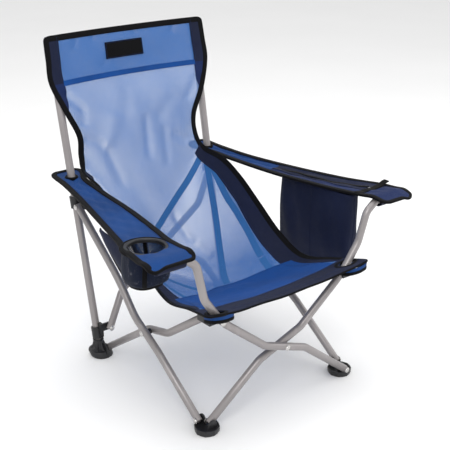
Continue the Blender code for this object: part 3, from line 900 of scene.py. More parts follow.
@dataclass
class Feet(Assembly):
    """Four black feet: a round sole, and a socket behind or two lugs in front."""

    lobes: int = 8
    rear_height: float = 0.0435

    def build(self) -> None:
        """Make all four."""
        for side, s in SIDES.items():
            self.rear(side, s)
            self.front(side, s)

    def ribbed(self, profile: Array, rib: Array, centres: Array, name: str) -> bpy.types.Object:
        """Turn a profile whose radius grows by rib * max(0, cos(lobes * angle))^3.

        Args:
            profile: rows of (radius, height).
            rib: growth of each row.
            centres: centre of each row.
            name: the piece's name.

        Returns:
            The new object.
        """
        turn = np.arange(96) * 2 * np.pi / 96
        lobe = np.maximum(0, np.cos(self.lobes * turn)) ** 3
        r = profile[:, None, 0] + rib[:, None] * lobe
        height = np.broadcast_to(profile[:, None, 1], r.shape)
        rings = np.stack([r * np.cos(turn), r * np.sin(turn), height], -1)
        rings[..., :2] += centres[:, None, :2]
        return loft(name, rings, sharp=35.0)

    def rear(self, side: str, s: float) -> None:
        """A socket with gussets that leans with the post, on a treaded sole."""
        profile = np.array([
            (0.0010, 0.0012), (0.0180, 0.0012), (0.0200, 0.0), (0.0262, 0.0), (0.0282, 0.0026),
            (FOOT_R, 0.0140), (0.0282, 0.0164), (0.0258, 0.0168), (0.0186, 0.0170), (0.0146, 0.0196),
            (0.0136, 0.0260), (0.0131, 0.0360), (0.0131, 0.0395), (0.0138, 0.0402), (0.0138, 0.0428),
            (0.0128, self.rear_height), (0.0109, self.rear_height), (0.0106, 0.0400), (0.0106, 0.0124),
            (0.0010, 0.0122)
        ])
        rib = np.zeros(len(profile))
        rib[7:13] = (0.0, 0.0062, 0.0058, 0.0040, 0.0012, 0.0)
        axis = post_point(side, profile[:, 1])
        sole = place(s * 0.2035, 0.444, 0.0)
        share = smooth(profile[:, 1] / 0.012)[:, None]
        centres = sole * (1 - share) + axis * share
        name = f"foot_rear_{side}"
        self.add(self.ribbed(profile, rib, centres, f"sole_rear_{side}"), Finish.PLASTIC, f"{side}_side",
                 stands_for=(name,))
        y, z = PIVOT_REAR
        self.add(self.lug(f"lug_rear_{side}", place(s * 0.2022, y + 0.004, 0.005), np.array([s, 0.0, 0.0]),
                          0.013, z + 0.0105, 0.0021), Finish.PLASTIC, f"{side}_side")

    def front(self, side: str, s: float) -> None:
        """A scalloped low dome with a lug for each of the two tubes that meet there."""
        profile = np.array([
            (0.0010, 0.0010), (0.0190, 0.0010), (0.0205, 0.0), (0.0258, 0.0), (0.0274, 0.0026),
            (0.0282, 0.0120), (0.0278, 0.0146), (0.0254, 0.0146), (0.0240, 0.0118), (0.0120, 0.0110),
            (0.0010, 0.0110)
        ])
        rib = np.array([0, 0, 0.0003, 0.0010, 0.0010, 0.0010, 0.0012, 0.0004, 0, 0, 0])
        centres = np.broadcast_to(place(s * 0.207, 0.0, 0.0), (len(profile), 3))
        body = f"foot_{side}"
        self.add(self.ribbed(profile, rib, centres, f"sole_front_{side}"), Finish.PLASTIC, body,
                 stands_for=(f"foot_front_{side}",))
        y, z = PIVOT_FRONT
        self.add(self.lug(f"lug_side_{side}", place(s * 0.2040, y, 0.005), np.array([s, 0.0, 0.0]),
                          0.011, z + 0.0110, 0.0019), Finish.PLASTIC, body)
        other = OTHER[side]
        behind = 1.0 if other == "right" else -1.0
        pivot = front_point(0.0, 0.0, FRONT_OFFSET[other])
        base = np.array([s * FRONT_X_FOOT, pivot[1] + behind * (TUBE_R + 0.0025), 0.005])
        self.add(self.lug(f"lug_front_{side}", base, np.array([0.0, 1.0, 0.0]),
                          0.0115, pivot[2] + 0.0110, 0.0019), Finish.PLASTIC, body)

    @staticmethod
    def lug(name: str, base: Array, normal: Array, half: float, top: float, thick: float) -> bpy.types.Object:
        """A flat tongue standing on base: a straight-sided arch, inset at both faces.

        Args:
            name: the piece's name.
            base: the middle of its foot.
            normal: the direction of its thickness.
            half: half its width, and the radius of its round head.
            top: height of its tip.
            thick: half its thickness.

        Returns:
            The new object.
        """
        arc = np.linspace(0, np.pi, 17)
        a = np.concatenate([[half * 1.15], half * np.cos(arc), [-half * 1.15]])
        h = np.concatenate([[base[2]], top - half + half * np.sin(arc), [base[2]]])
        along = unit(np.cross(np.array([0, 0, 1.0]), normal))
        rings = []
        for depth, inset in ((-1.0, 0.0009), (-0.55, 0.0), (0.55, 0.0), (1.0, 0.0009)):
            width = np.sign(a) * np.maximum(np.abs(a) - inset, 0)
            height = np.where(h > base[2], h - inset, h)
            ring = along * width[:, None] + normal * depth * thick
            ring[:, :2] += base[:2]
            ring[:, 2] += height
            rings.append(ring)
        return loft(name, np.array(rings), sharp=35.0)


@dataclass
class Fixings(Assembly):
    """Domed rivets on washers at every pivot, and the plastic caps on posts and arm tubes."""

    washer: float = 0.0068

    def heads(self) -> list[tuple[str, Array, Array, str]]:
        """Each rivet: node name, pivot on the tube's axis, direction out and body."""
        found = []
        front = np.array([0.0, *FRONT_AHEAD])
        for side, s in SIDES.items():
            other = OTHER[side]
            out = np.array([s, 0.0, 0.0])
            y, z = PIVOT_REAR
            found.append((f"rivet_rear_foot_{side}", place(s * SIDE_LOWER_X, y, z), -out, f"{side}_side"))
            y, z = PIVOT_FRONT
            pivot = place(s * SIDE_UPPER_X, y, z)
            found.append((f"rivet_front_foot_side_{side}", pivot, out, f"foot_{side}"))
            pivot = front_point(s * FRONT_X_FOOT, 0.0, FRONT_OFFSET[other])
            ahead = np.array([0.0, -1.0, 0.0]) * (1.0 if other == "right" else -1.0)
            found.append((f"rivet_front_foot_{side}", pivot, ahead, f"foot_{side}"))
            pivot = place(s * SIDE_UPPER_X, *PIVOT_SIDE)
            found.append((f"rivet_side_{side}", pivot, out, f"side_upper_{side}"))
            y, z = PIVOT_CORNER
            pivot = place(s * SIDE_LOWER_X, y, z)
            found.append((f"rivet_corner_side_{side}", pivot, -out, f"side_lower_{side}"))
            pivot = front_point(s * FRONT_X_CORNER, FRONT_S, FRONT_OFFSET[side])
            ahead = np.array([0.0, -1.0, 0.0]) * (1.0 if side == "right" else -1.0)
            found.append((f"rivet_corner_front_{side}", pivot, ahead, f"corner_{side}"))
            pivot = brace_point(s * BRACE_X, BRACE_LOW_Z, BRACE_OFFSET[side])
            found.append((f"rivet_brace_low_{side}", pivot, POST_FRONT, f"collar_low_{side}"))
            y, z = PIVOT_UPPER
            pivot = place(s * SIDE_UPPER_X, y, z)
            found.append((f"rivet_upper_side_{side}", pivot, out, f"collar_up_{side}"))
            pivot = brace_point(s * BRACE_X, BRACE_HIGH_Z, BRACE_OFFSET[other])
            found.append((f"rivet_brace_high_{side}", pivot, POST_FRONT, f"collar_up_{side}"))
        cross = front_point(0.0, FRONT_CROSS_S, FRONT_OFFSET["right"])
        found.append(("rivet_front_cross", cross, front, "front_arm_right"))
        cross = brace_point(0.0, (BRACE_LOW_Z + BRACE_HIGH_Z) / 2, BRACE_OFFSET["right"])
        found.append(("rivet_rear_cross", cross, POST_FRONT, "brace_right"))
        return found

    def build(self) -> None:
        """Rivet heads, then caps."""
        w = self.washer
        head = np.array([
            (0.0004, -0.0006), (w, -0.0006), (w + 0.0002, 0.0), (w, 0.0006), (0.0056, 0.0008),
            (0.0054, 0.0014), (0.0044, 0.0025), (0.0026, 0.0032), (0.0006, 0.0034)
        ])
        for name, pivot, out, body in self.heads():
            base = pivot + unit(out) * (TUBE_R - 0.0001)
            self.add(turned(f"{name}_head", head, base, out, 24), Finish.RIVET, body, stands_for=(name,))
        cap = np.array([
            (0.0005, -0.0010), (0.0101, -0.0010), (0.0103, 0.0), (0.0103, 0.0050), (0.0098, 0.0072),
            (0.0082, 0.0088), (0.0050, 0.0098), (0.0006, 0.0100)
        ])
        for side, s in SIDES.items():
            top = post_point(side, POST_TOP_Z)
            self.add(turned(f"post_crown_{side}", cap, top, post_axis(side), 28), Finish.PLASTIC,
                     f"{side}_side", stands_for=(f"post_cap_{side}",))
            tip = front_point(s * 0.3660, ARM_TUBE_S[side], FRONT_OFFSET[side])
            small = cap * np.array([0.92, 0.42])
            plug = turned(f"arm_tube_plug_{side}", small, tip, np.array([s, 0, 0]), 24)
            self.add(plug, Finish.PLASTIC,
                     f"front_arm_{side}", stands_for=(f"tube_cap_{side}_arm",))

    def dress(self) -> None:
        """Dress the new pieces, and give the collars, brackets and spacers their moulded finish."""
        super().dress()
        for side in SIDES:
            for node in ("collar_lower", "collar_upper", "corner_bracket", "spacer_side"):
                data = bpy.data.objects[f"{node}_{side}"].data
                data.materials.clear()
                data.materials.append(Finish.PLASTIC.material())


# ---------------------------------------------------------------- the sling
@dataclass(frozen=True)
class Crease:
    """A soft fold of the sling from (u0, v0) to (u1, v1): a Gaussian ridge, or with minus depth a valley."""

    u0: float
    v0: float
    u1: float
    v1: float
    width: float
    depth: float

    def height(self, x: Array, s: Array, scale: tuple[float, float]) -> Array:
        """The fold's height, depth * exp(-(distance / width)^2), fading out at both ends of its line.

        Args:
            x: metres across the sling.
            s: metres along it.
            scale: metres for one unit of u and of v.

        Returns:
            The height at each place.
        """
        a = np.array([self.u0 * scale[0], self.v0 * scale[1]])
        b = np.array([self.u1 * scale[0], self.v1 * scale[1]]) - a
        t = ((x - a[0]) * b[0] + (s - a[1]) * b[1]) / (b @ b)
        near = np.clip(t, 0, 1)
        far2 = (x - a[0] - near * b[0]) ** 2 + (s - a[1] - near * b[1]) ** 2
        return self.depth * np.exp(-far2 / self.width**2) * smooth(np.sin(np.pi * near) * 1.4 + 0.05)


@dataclass(frozen=True)
class Zone:
    """A stretch of the sling between two stations, the body that carries it and how it gathers."""

    name: str
    low: float
    high: float
    body: str
    node: str
    plane: float
    keep: float

    def crumple(self) -> Crumple:
        """Gather sideways, towards the right-hand tubes."""
        return Crumple((1.0, 0.0, 0.0), (self.plane, 0.0, 0.0), self.keep)


FRONT_ZONE = Zone("front", 0.0, 3.0, "side_lower_right", "seat_front", -0.190, 0.312)
REAR_ZONE = Zone("rear", 3.0, 6.4, "side_upper_right", "seat_rear", -0.216, 0.395)
BACK_ZONE = Zone("back", 6.4, 11.0, "right_side", "back_panel", -0.2095, 0.365)
HEAD_ZONE = Zone("head", 11.0, 13.0, "right_side", "head_band", -0.2095, 0.365)
ZONES = (FRONT_ZONE, REAR_ZONE, BACK_ZONE, HEAD_ZONE)


@dataclass
class Sling(Assembly):
    """Seat, back and head band: one hammock of mesh with panels, straps, seams and a bound edge.

    A point of the sling is given by u, from -1 at the right edge to 1 at the left, and by v, from 0 at
    the front edge to 13 at the top. Rows of `stations` hold the centre line (y, z), the side edge (y, z)
    and the half width; between centre and edge the cloth follows |u|^2.2.
    """

    stations: tuple[tuple[float, ...], ...] = (
        (-0.052, 0.298, -0.052, 0.312, 0.240),
        (0.040, 0.270, 0.040, 0.290, 0.221),
        (0.140, 0.228, 0.140, 0.268, 0.209),
        (0.225, 0.208, 0.225, 0.303, 0.204),
        (0.310, 0.203, 0.300, 0.360, 0.200),
        (0.385, 0.222, 0.370, 0.415, 0.195),
        (0.445, 0.280, 0.438, 0.453, 0.189),
        (0.490, 0.365, 0.518, 0.467, 0.185),
        (0.522, 0.460, 0.5430, 0.503, 0.1800),
        (0.545, 0.550, 0.5455, 0.552, 0.1800),
        (0.562, 0.625, 0.5490, 0.614, 0.208),
        (0.580, 0.688, 0.5660, 0.686, 0.2350),
        (0.590, 0.742, 0.5765, 0.742, 0.2340),
        (0.600, 0.795, 0.5870, 0.795, 0.2320),
    )
    cloth: float = 0.0010
    row: float = 0.0827
    mean_half: float = 0.200
    front_round: float = 0.016
    top_round: float = 0.016
    corner_oval: tuple[float, float] = (0.0215, 0.0150)
    strap_width: float = 0.0170
    creases: tuple[Crease, ...] = (
        Crease(0.24, 6.6, 0.34, 5.2, 0.010, -0.0060),
        Crease(0.33, 5.3, 0.40, 4.4, 0.012, -0.0050),
        Crease(0.14, 9.4, 0.10, 7.9, 0.014, -0.0036),
        Crease(0.44, 8.9, 0.38, 7.6, 0.014, -0.0030),
        Crease(-0.92, 8.9, -0.58, 8.5, 0.016, -0.0040),
        Crease(-0.60, 8.55, -0.40, 7.2, 0.016, -0.0045),
        Crease(-0.30, 9.6, -0.62, 8.4, 0.024, 0.0040),
        Crease(-0.92, 10.7, -0.72, 9.8, 0.012, -0.0055),
        Crease(-0.72, 10.0, -0.86, 9.3, 0.012, -0.0035),
        Crease(0.90, 10.6, 0.80, 9.5, 0.014, -0.0040),
        Crease(-0.80, 7.3, -0.20, 5.9, 0.016, -0.0035),
        Crease(0.62, 9.9, 0.30, 8.9, 0.020, -0.0022),
        Crease(-0.10, 10.5, -0.16, 9.2, 0.018, -0.0022),
        Crease(0.84, 7.9, 0.55, 8.6, 0.013, -0.0030),
        Crease(0.10, 4.6, 0.62, 3.3, 0.022, -0.0035),
        Crease(-0.15, 4.9, -0.62, 3.6, 0.022, -0.0035),
        Crease(-0.30, 2.6, 0.35, 2.3, 0.018, 0.0030),
        Crease(-0.60, 12.9, -0.66, 12.2, 0.007, -0.0020),
        Crease(-0.42, 12.95, -0.40, 12.4, 0.006, -0.0016),
        Crease(0.10, 12.95, 0.14, 12.5, 0.006, -0.0016),
        Crease(0.66, 12.95, 0.58, 12.3, 0.008, -0.0022),
        Crease(-0.20, 12.0, -0.34, 11.2, 0.010, -0.0014),
    )

    # ------------------------------------------------ the surface
    def base(self, u: Array, v: Array) -> Array:
        """The smooth hammock, before its folds.

        Args:
            u: places across.
            v: places along.

        Returns:
            A point for each place.
        """
        row = spline(self.stations, np.asarray(v, float) / (len(self.stations) - 1))
        bow = np.abs(u) ** 2.2
        y = row[..., 0] * (1 - bow) + row[..., 2] * bow
        z = row[..., 1] * (1 - bow) + row[..., 3] * bow
        return place(u * row[..., 4], y, z)

    def relief(self, u: Array, v: Array) -> Array:
        """Height of the folds: the creases, and slow waves that fade out at the edges.

        Args:
            u: places across.
            v: places along.

        Returns:
            Height above the smooth hammock.
        """
        x, s = u * self.mean_half, v * self.row
        scale = (self.mean_half, self.row)
        made = 0.80 * sum(c.height(x, s, scale) for c in self.creases)
        waves = 0.0009 * np.sin(23 * s + 17 * x) * np.sin(31 * x - 9 * s) + 0.0006 * np.sin(61 * x + 34 * s)
        return made * smooth((1 - np.abs(u)) * 9) + waves * smooth((1 - np.abs(u)) * 5)

    def point(self, u: Array, v: Array) -> Array:
        """The hammock with its folds: the base moved along its normal by the relief.

        Args:
            u: places across.
            v: places along.

        Returns:
            A point for each place.
        """
        u, v = np.broadcast_arrays(np.asarray(u, float), np.asarray(v, float))
        du = self.base(u + 2e-3, v) - self.base(u - 2e-3, v)
        low, high = np.clip(v - 0.02, 0, 13), np.clip(v + 0.02, 0, 13)
        dv = self.base(u, high) - self.base(u, low)
        return self.base(u, v) + unit(np.cross(du, dv)) * self.relief(u, v)[..., None]

    def tangents(self, u: Array, v: Array) -> tuple[Array, Array, Array, Array]:
        """The surface and its directions at each place.

        Args:
            u: places across.
            v: places along.

        Returns:
            Point, slope per unit of u, slope per unit of v, and unit normal towards the sitter.
        """
        du = (self.point(u + 4e-3, v) - self.point(u - 4e-3, v)) / 8e-3
        low, high = np.clip(v - 0.03, 0, 13), np.clip(v + 0.03, 0, 13)
        dv = (self.point(u, high) - self.point(u, low)) / (high - low)[..., None]
        return self.point(u, v), du, dv, unit(np.cross(du, dv))

    def extent(self, v: Array) -> Array:
        """Largest |u| at a row: 1, less where the front and top corners are rounded.

        Args:
            v: places along.

        Returns:
            The limit of |u| at each place.
        """
        out = np.ones_like(np.asarray(v, float))
        for r, gap, half in ((self.front_round, v, 0.240), (self.top_round, 13 - v, 0.232)):
            t = np.clip(1 - gap * self.row / r, 0, 1)
            out = out - r / half * (1 - np.sqrt(1 - t * t))
        return out

    def metric(self, u: Array, v: Array) -> Array:
        """The cloth map: metres across and along."""
        u, v = np.broadcast_arrays(u, v)
        return np.stack([u * 0.21, v * self.row], -1)

    # ------------------------------------------------ pieces on the surface
    def sheet(self, name: str, u: Array, v: Array, lift: float, thick: float) -> Made:
        """A cloth over a grid of the sling.

        Args:
            name: the piece's name.
            u: places across, a grid.
            v: places along, a grid.
            lift: its height above the mesh along the normal.
            thick: its thickness.

        Returns:
            The object and the grid of its middle surface.
        """
        point, _, _, normal = self.tangents(u, v)
        grid = point + normal * lift
        return shell(name, grid, thick, self.metric(u, v)), grid

    def ribbon(self, name: str, path: Array, width: float, lift: float, thick: float) -> Made:
        """A strap that lies flat on the sling: its cross-wise steps are solved on the surface.

        Args:
            name: the piece's name.
            path: rows of (u, v) along its middle.
            width: its width.
            lift: its height above the mesh along the normal.
            thick: its thickness.

        Returns:
            The object and the grid of its middle surface.
        """
        u, v = path[:, 0], path[:, 1]
        point, du, dv, normal = self.tangents(u, v)
        across = unit(np.cross(normal, unit(np.gradient(point, axis=0))))
        uu, mixed, vv = (du * du).sum(1), (du * dv).sum(1), (dv * dv).sum(1)
        ru, rv = (du * across).sum(1), (dv * across).sum(1)
        det = uu * vv - mixed**2
        a, b = (ru * vv - rv * mixed) / det, (rv * uu - ru * mixed) / det
        w = np.linspace(-width / 2, width / 2, 7)
        uw, vw = u[None] + a[None] * w[:, None], v[None] + b[None] * w[:, None]
        p, _, _, n = self.tangents(uw, np.clip(vw, 0.0, 13.0))
        grid = p + n * lift
        uv = np.stack(np.broadcast_arrays(w[:, None], run_length(point)[None]), -1)
        return shell(name, grid, thick, uv), grid

    def binding(self, name: str, path: Array, inward: float) -> bpy.types.Object:
        """Tape folded over the cloth's edge: a flat rounded section, mostly inside the edge.

        Args:
            name: the piece's name.
            path: rows of (u, v) along the edge.
            inward: 1 where the cloth lies to the left of the path, -1 where it lies to the right.

        Returns:
            The new object.
        """
        u, v = path[:, 0], path[:, 1]
        point, _, _, normal = self.tangents(u, v)
        into = unit(np.cross(normal, np.gradient(point, axis=0))) * inward
        section = pill(0.0075, 0.0021) + np.array([0.0050, 0.0])
        return sweep(name, point, into, normal, section)

    def path(
        self, corners: Sequence[Sequence[float]], radius: float, half: float, step: float = 0.005
    ) -> Array:
        """A rounded path on the sling.

        Args:
            corners: rows of (u, v).
            radius: rounding radius in metres.
            half: half width of the sling there.
            step: distance between points in metres.

        Returns:
            Rows of (u, v).
        """
        scale = np.array([half, self.row])
        line = rounded([np.array(c) * scale for c in corners], radius)
        return resample(line, step) / scale

    # ------------------------------------------------ building
    def build(self) -> None:
        """Mesh sheets first, then panels, straps, seams, bindings and the head band's parts."""
        for zone in ZONES:
            self.mesh_sheet(zone)
        self.side_panels()
        self.front_bands()
        self.straps()
        self.bindings()
        self.head_parts()
        self.corner_parts()

    def zoned(
        self, made: Made, finish: Finish, zone: Zone, declare: bool = True, **facts
    ) -> bpy.types.Object:
        """Note a piece that gathers with its zone.

        Args:
            made: the object and the grid of its middle surface.
            finish: its finish.
            zone: the stretch of the sling that it is sewn to.
            declare: whether it is a sheet, so that the size of its flat cloth is noted.
            **facts: more facts of the Piece.

        Returns:
            The object.
        """
        obj, grid = made
        if declare:
            facts |= {"cut": cut_size(grid), "rests_on": (f"sling_{zone.name}",)}
        return self.add(obj, finish, zone.body, crumple=zone.crumple(), **facts)

    def mesh_sheet(self, zone: Zone) -> None:
        """The mesh itself between two stations; the front one has its two corner holes."""
        rows = int((zone.high - zone.low) * 20) + 1
        v = np.linspace(zone.low, zone.high, rows)
        t = np.linspace(-1, 1, 97)
        u = t[:, None] * self.extent(v)[None]
        vv = np.broadcast_to(v, u.shape)
        obj, grid = self.sheet(f"sling_{zone.name}", u, vv, 0.0, self.cloth)
        if zone is FRONT_ZONE:
            for side in SIDES:
                cut_out(obj, self.corner_hole(side))
        finish = Finish.BAND if zone is HEAD_ZONE else Finish.MESH
        hung = {
            "front": ("arm_tube_right", "arm_tube_left"),
            "rear": ("sling_front", "sling_back"),
            "back": ("sling_rear", "sling_head"),
            "head": ("back_post_right", "back_post_left"),
        }
        self.add(obj, finish, zone.body, crumple=zone.crumple(), stands_for=(zone.node,), cut=cut_size(grid),
                 rests_on=hung[zone.name])

    def corner_hole(self, side: str) -> Array:
        """The oval through which the front tube passes."""
        low = front_point(SIDES[side] * FRONT_X_CORNER, FRONT_S, FRONT_OFFSET[side])
        centre = np.array([low[0] + SIDES[side] * 0.014, low[1] - 0.001, 0.300])
        return column(centre, np.array([0, 0, 1.0]), *self.corner_oval, 0.030)

    def side_panels(self) -> None:
        """Navy panels inside both edges, widest beside the hips, cut where the sling's bodies meet."""
        rows = [0.75, 1.2, 1.6, 2.2, 3.05, 3.95, 4.8, 6.0, 6.6, 7.25]
        edge = [0.93, 0.86, 0.78, 0.745, 0.79, 0.83, 0.87, 0.885, 0.875, 0.86]
        for zone, low, high in ((FRONT_ZONE, 0.75, 3.0), (REAR_ZONE, 3.0, 6.4), (BACK_ZONE, 6.4, 7.25)):
            v = np.linspace(low, high, int((high - low) * 14) + 2)
            inner = np.interp(v, rows, edge)
            t = np.linspace(0, 1, 13)[:, None]
            for side, s in SIDES.items():
                u = s * (inner * (1 - t) + 0.988 * t)
                u, vv = (u, np.broadcast_to(v, u.shape)) if s > 0 else (u[::-1], np.broadcast_to(v, u.shape))
                for face, lift in (("inner", 0.0013), ("outer", -0.0013)):
                    made = self.sheet(f"side_panel_{face}_{zone.name}_{side}", u, vv, lift, 0.0005)
                    self.zoned(made, Finish.NAVY, zone)
                seam = np.stack([s * (inner + 0.012), v], -1)
                self.stitch_line(f"panel_stitch_{zone.name}_{side}", seam, 0.0021, zone)

    def front_bands(self) -> None:
        """Royal band over the front of the seat, and the navy stripe along its edge."""
        t = np.linspace(-1, 1, 61)[:, None]
        share = np.linspace(0, 1, 24)[None]
        u = t * 0.86 * np.ones_like(share)
        back = 3.0 - 1.05 * np.abs(u) ** 1.4
        v = 0.72 + (np.minimum(back, 3.0) - 0.72) * share
        for face, lift in (("upper", 0.0012), ("under", -0.0012)):
            self.zoned(self.sheet(f"front_band_{face}", u, v, lift, 0.0008), Finish.ROYAL, FRONT_ZONE)
        v = np.linspace(0.03, 0.78, 12)
        u = t * (self.extent(v) * 0.995)[None]
        vv = np.broadcast_to(v, u.shape)
        for face, lift in (("upper", 0.0021), ("under", -0.0021)):
            obj, grid = self.sheet(f"front_stripe_{face}", u, vv, lift, 0.0009)
            for side in SIDES:
                cut_out(obj, self.corner_hole(side))
            self.zoned((obj, grid), Finish.NAVY, FRONT_ZONE)
        for k, row in enumerate((0.70, 0.28)):
            line = np.stack([np.linspace(-0.80, 0.80, 170), np.full(170, row)], -1)
            self.stitch_line(f"front_stitch_{k}", line, 0.0030, FRONT_ZONE)
        across = np.linspace(-0.74, 0.74, 160)
        line = np.stack([across, 2.94 - 1.05 * np.abs(across) ** 1.4], -1)
        self.stitch_line("band_stitch", line, 0.0020, FRONT_ZONE)

    def straps(self) -> None:
        """Flat webbing sewn on the mesh: three straps fan from each arm's root over the back and the seat."""
        fans = {
            "cross": [(0.94, 6.92), (0.64, 6.87), (0.40, 6.77), (0.16, 6.55), (-0.07, 6.22)],
            "middle": [
                (0.93, 6.66), (0.87, 6.42), (0.77, 5.89), (0.65, 5.12), (0.50, 4.39), (0.22, 3.27),
                (0.15, 2.95)
            ],
            "outer": [
                (0.95, 6.55), (0.89, 6.15), (0.84, 5.30), (0.82, 4.52), (0.77, 3.64), (0.62, 2.36),
                (0.60, 2.22)
            ],
        }
        scale = [0.2, self.row]
        for side, s in SIDES.items():
            for kind, keys in fans.items():
                keys = keys[:-1] if kind == "cross" and s < 0 else keys
                line = resample(spline(keys, np.linspace(0, 1, 60)) * scale, 0.006) / scale
                line[:, 0] *= s
                line[:, 1] -= 0.30 * (s < 0) * (kind == "cross")
                for zone in ZONES[:3]:
                    part = line[(line[:, 1] >= zone.low - 0.02) & (line[:, 1] <= zone.high + 0.02)]
                    if len(part) > 3:
                        name = f"strap_{kind}_{zone.name}_{side}"
                        made = self.ribbon(name, part, self.strap_width, 0.0007, 0.0006)
                        self.zoned(made, Finish.STRAP, zone, declare=False)

    def bindings(self) -> None:
        """Black tape round the whole edge, cut where the sling's bodies meet."""
        front = self.path([(-1, 3.0), (-1, 0.02), (1, 0.02), (1, 3.0)], self.front_round, 0.240)
        self.zoned((self.binding("binding_front", front, 1.0), None), Finish.BLACK, FRONT_ZONE, declare=False)
        for zone in (REAR_ZONE, BACK_ZONE):
            v = np.linspace(zone.low, zone.high, int((zone.high - zone.low) * 18))
            for side, s in SIDES.items():
                edge = np.stack([np.full(len(v), s), v], -1)
                obj = self.binding(f"binding_{zone.name}_{side}", edge, s)
                self.zoned((obj, None), Finish.BLACK, zone, declare=False)
        top = self.path([(-1, 11.0), (-1, 12.98), (1, 12.98), (1, 11.0)], self.top_round, 0.232)
        self.zoned((self.binding("binding_head", top, -1.0), None), Finish.BLACK, HEAD_ZONE, declare=False)

    def stitch_line(self, name: str, path: Array, lift: float, zone: Zone, pitch: float = 0.0042) -> None:
        """A row of small stitches, each a short rounded bar, as one mesh.

        Args:
            name: the piece's name.
            path: rows of (u, v).
            lift: their height above the mesh along the normal.
            zone: the stretch of the sling that they are sewn to.
            pitch: distance between two stitches.
        """
        line = resample(self.point(path[:, 0], path[:, 1]), pitch)
        s = np.linspace(0, 1, len(line))
        t = np.linspace(0, 1, len(path))
        u, v = np.interp(s, t, path[:, 0]), np.interp(s, t, path[:, 1])
        _, _, _, normal = self.tangents(u, v)
        self.zoned((stitches(name, line, normal, lift), None), Finish.THREAD, zone, declare=False)

    def head_parts(self) -> None:
        """Royal seam tape, navy post pockets front and back, and the blank patch with its stitched rim."""
        u = np.linspace(-0.845, 0.845, 120)
        tape = np.stack([u, np.full(120, 10.93)], -1)
        made = self.ribbon("head_seam_tape", tape, 0.0130, 0.0016, 0.0010)
        self.zoned(made, Finish.ROYAL, BACK_ZONE, declare=False)
        v = np.linspace(10.94, 12.97, 26)
        for side, s in SIDES.items():
            t = np.linspace(0, 1, 12)[:, None]
            u = s * (0.835 * (1 - t) + 0.99 * self.extent(v)[None] * t)
            u = u if s > 0 else u[::-1]
            made = self.sheet(f"post_pocket_front_{side}", u, np.broadcast_to(v, u.shape), 0.0012, 0.0010)
            self.zoned(made, Finish.NAVY, HEAD_ZONE)
            self.pocket_back(side, s)
            self.shoulder(side, s)
            seam = np.stack([np.full(60, s * 0.855), np.linspace(11.05, 12.9, 60)], -1)
            self.stitch_line(f"pocket_stitch_{side}", seam, 0.0020, HEAD_ZONE)
        u, v = np.meshgrid(np.linspace(-0.270, 0.198, 30), np.linspace(11.60, 12.36, 12), indexing="ij")
        patch = self.sheet("head_patch", u, v, 0.0018, 0.0016)
        self.zoned(patch, Finish.BLACK, HEAD_ZONE, stands_for=("head_label",))
        left, right, low, high = -0.258, 0.186, 11.645, 12.315
        corners = [(-0.032, low), (left, low), (left, high), (right, high), (right, low), (-0.034, low)]
        rim = self.path(corners, 0.003, 0.2)
        self.stitch_line("patch_stitch", rim, 0.0029, HEAD_ZONE, 0.0034)

    def shoulder(self, side: str, s: float) -> None:
        """The navy tail of a pocket, narrowing down the edge below the head band."""
        v = np.linspace(9.95, 10.94, 16)
        t = np.linspace(0, 1, 10)[:, None]
        inner = np.interp(v, [9.95, 10.3, 10.65, 10.94], [0.965, 0.895, 0.850, 0.835])
        u = s * (inner * (1 - t) + 0.99 * t)
        u = u if s > 0 else u[::-1]
        made = self.sheet(f"pocket_tail_{side}", u, np.broadcast_to(v, u.shape), 0.0012, 0.0009)
        self.zoned(made, Finish.DUSK, BACK_ZONE)

    def pocket_back(self, side: str, s: float) -> None:
        """The pocket's cloth behind a post.

        Across, its depth behind the front sheet is 24 mm * sin(pi t)^0.5; up, it closes like a quarter circle
        over the post's crown.
        """
        t = np.linspace(0.0, 1.0, 25)[:, None]
        v = np.concatenate([np.linspace(11.05, 12.80, 16), np.linspace(12.83, 12.985, 10)])[None]
        close = np.sqrt(np.clip(1 - np.clip((v - 12.80) / 0.19, 0, 1) ** 2, 0, 1))
        u = s * (0.985 * (1 - t) + 0.835 * t) * np.ones_like(v)
        point, _, _, normal = self.tangents(u, v * np.ones_like(u))
        depth = 0.0240 * np.sin(np.pi * t) ** 0.5 * (0.06 + 0.94 * close)
        grid = point - normal * (depth + 0.0010)[..., None]
        grid = grid if s < 0 else grid[::-1]
        uv = self.metric(u, v * np.ones_like(u))
        obj = shell(f"post_pocket_back_{side}", grid, 0.0010, uv)
        self.add(obj, Finish.NAVY, f"{side}_side", stands_for=(f"post_sleeve_{side}",), cut=cut_size(grid),
                 rests_on=(f"back_post_{side}",), held="hung")

    def corner_parts(self) -> None:
        """At each front corner: a black oval round the hole, and the open pocket beneath the cloth."""
        turn = np.arange(48) * 2 * np.pi / 48
        for side, s in SIDES.items():
            hole = self.corner_hole(side)
            middle = hole.mean((0, 1))
            u0, v0 = middle[0] / 0.236, (middle[1] + FRONT_TO_CENTRE + 0.052) / 0.092
            u = u0 + (0.0225 / 0.236) * np.cos(turn) * s
            v = np.clip(v0 + (0.0160 / 0.092) * np.sin(turn), 0.02, 3)
            point, _, _, normal = self.tangents(u, v)
            out = unit(point - point.mean(0))
            section = pill(0.0055, 0.0034, 3.0, 12) + np.array([0.0030, 0.0])
            obj = sweep(f"corner_oval_{side}", point, out, normal, section, closed=True)
            self.zoned((obj, None), Finish.BLACK, FRONT_ZONE, declare=False)
            self.corner_pocket(side, s)

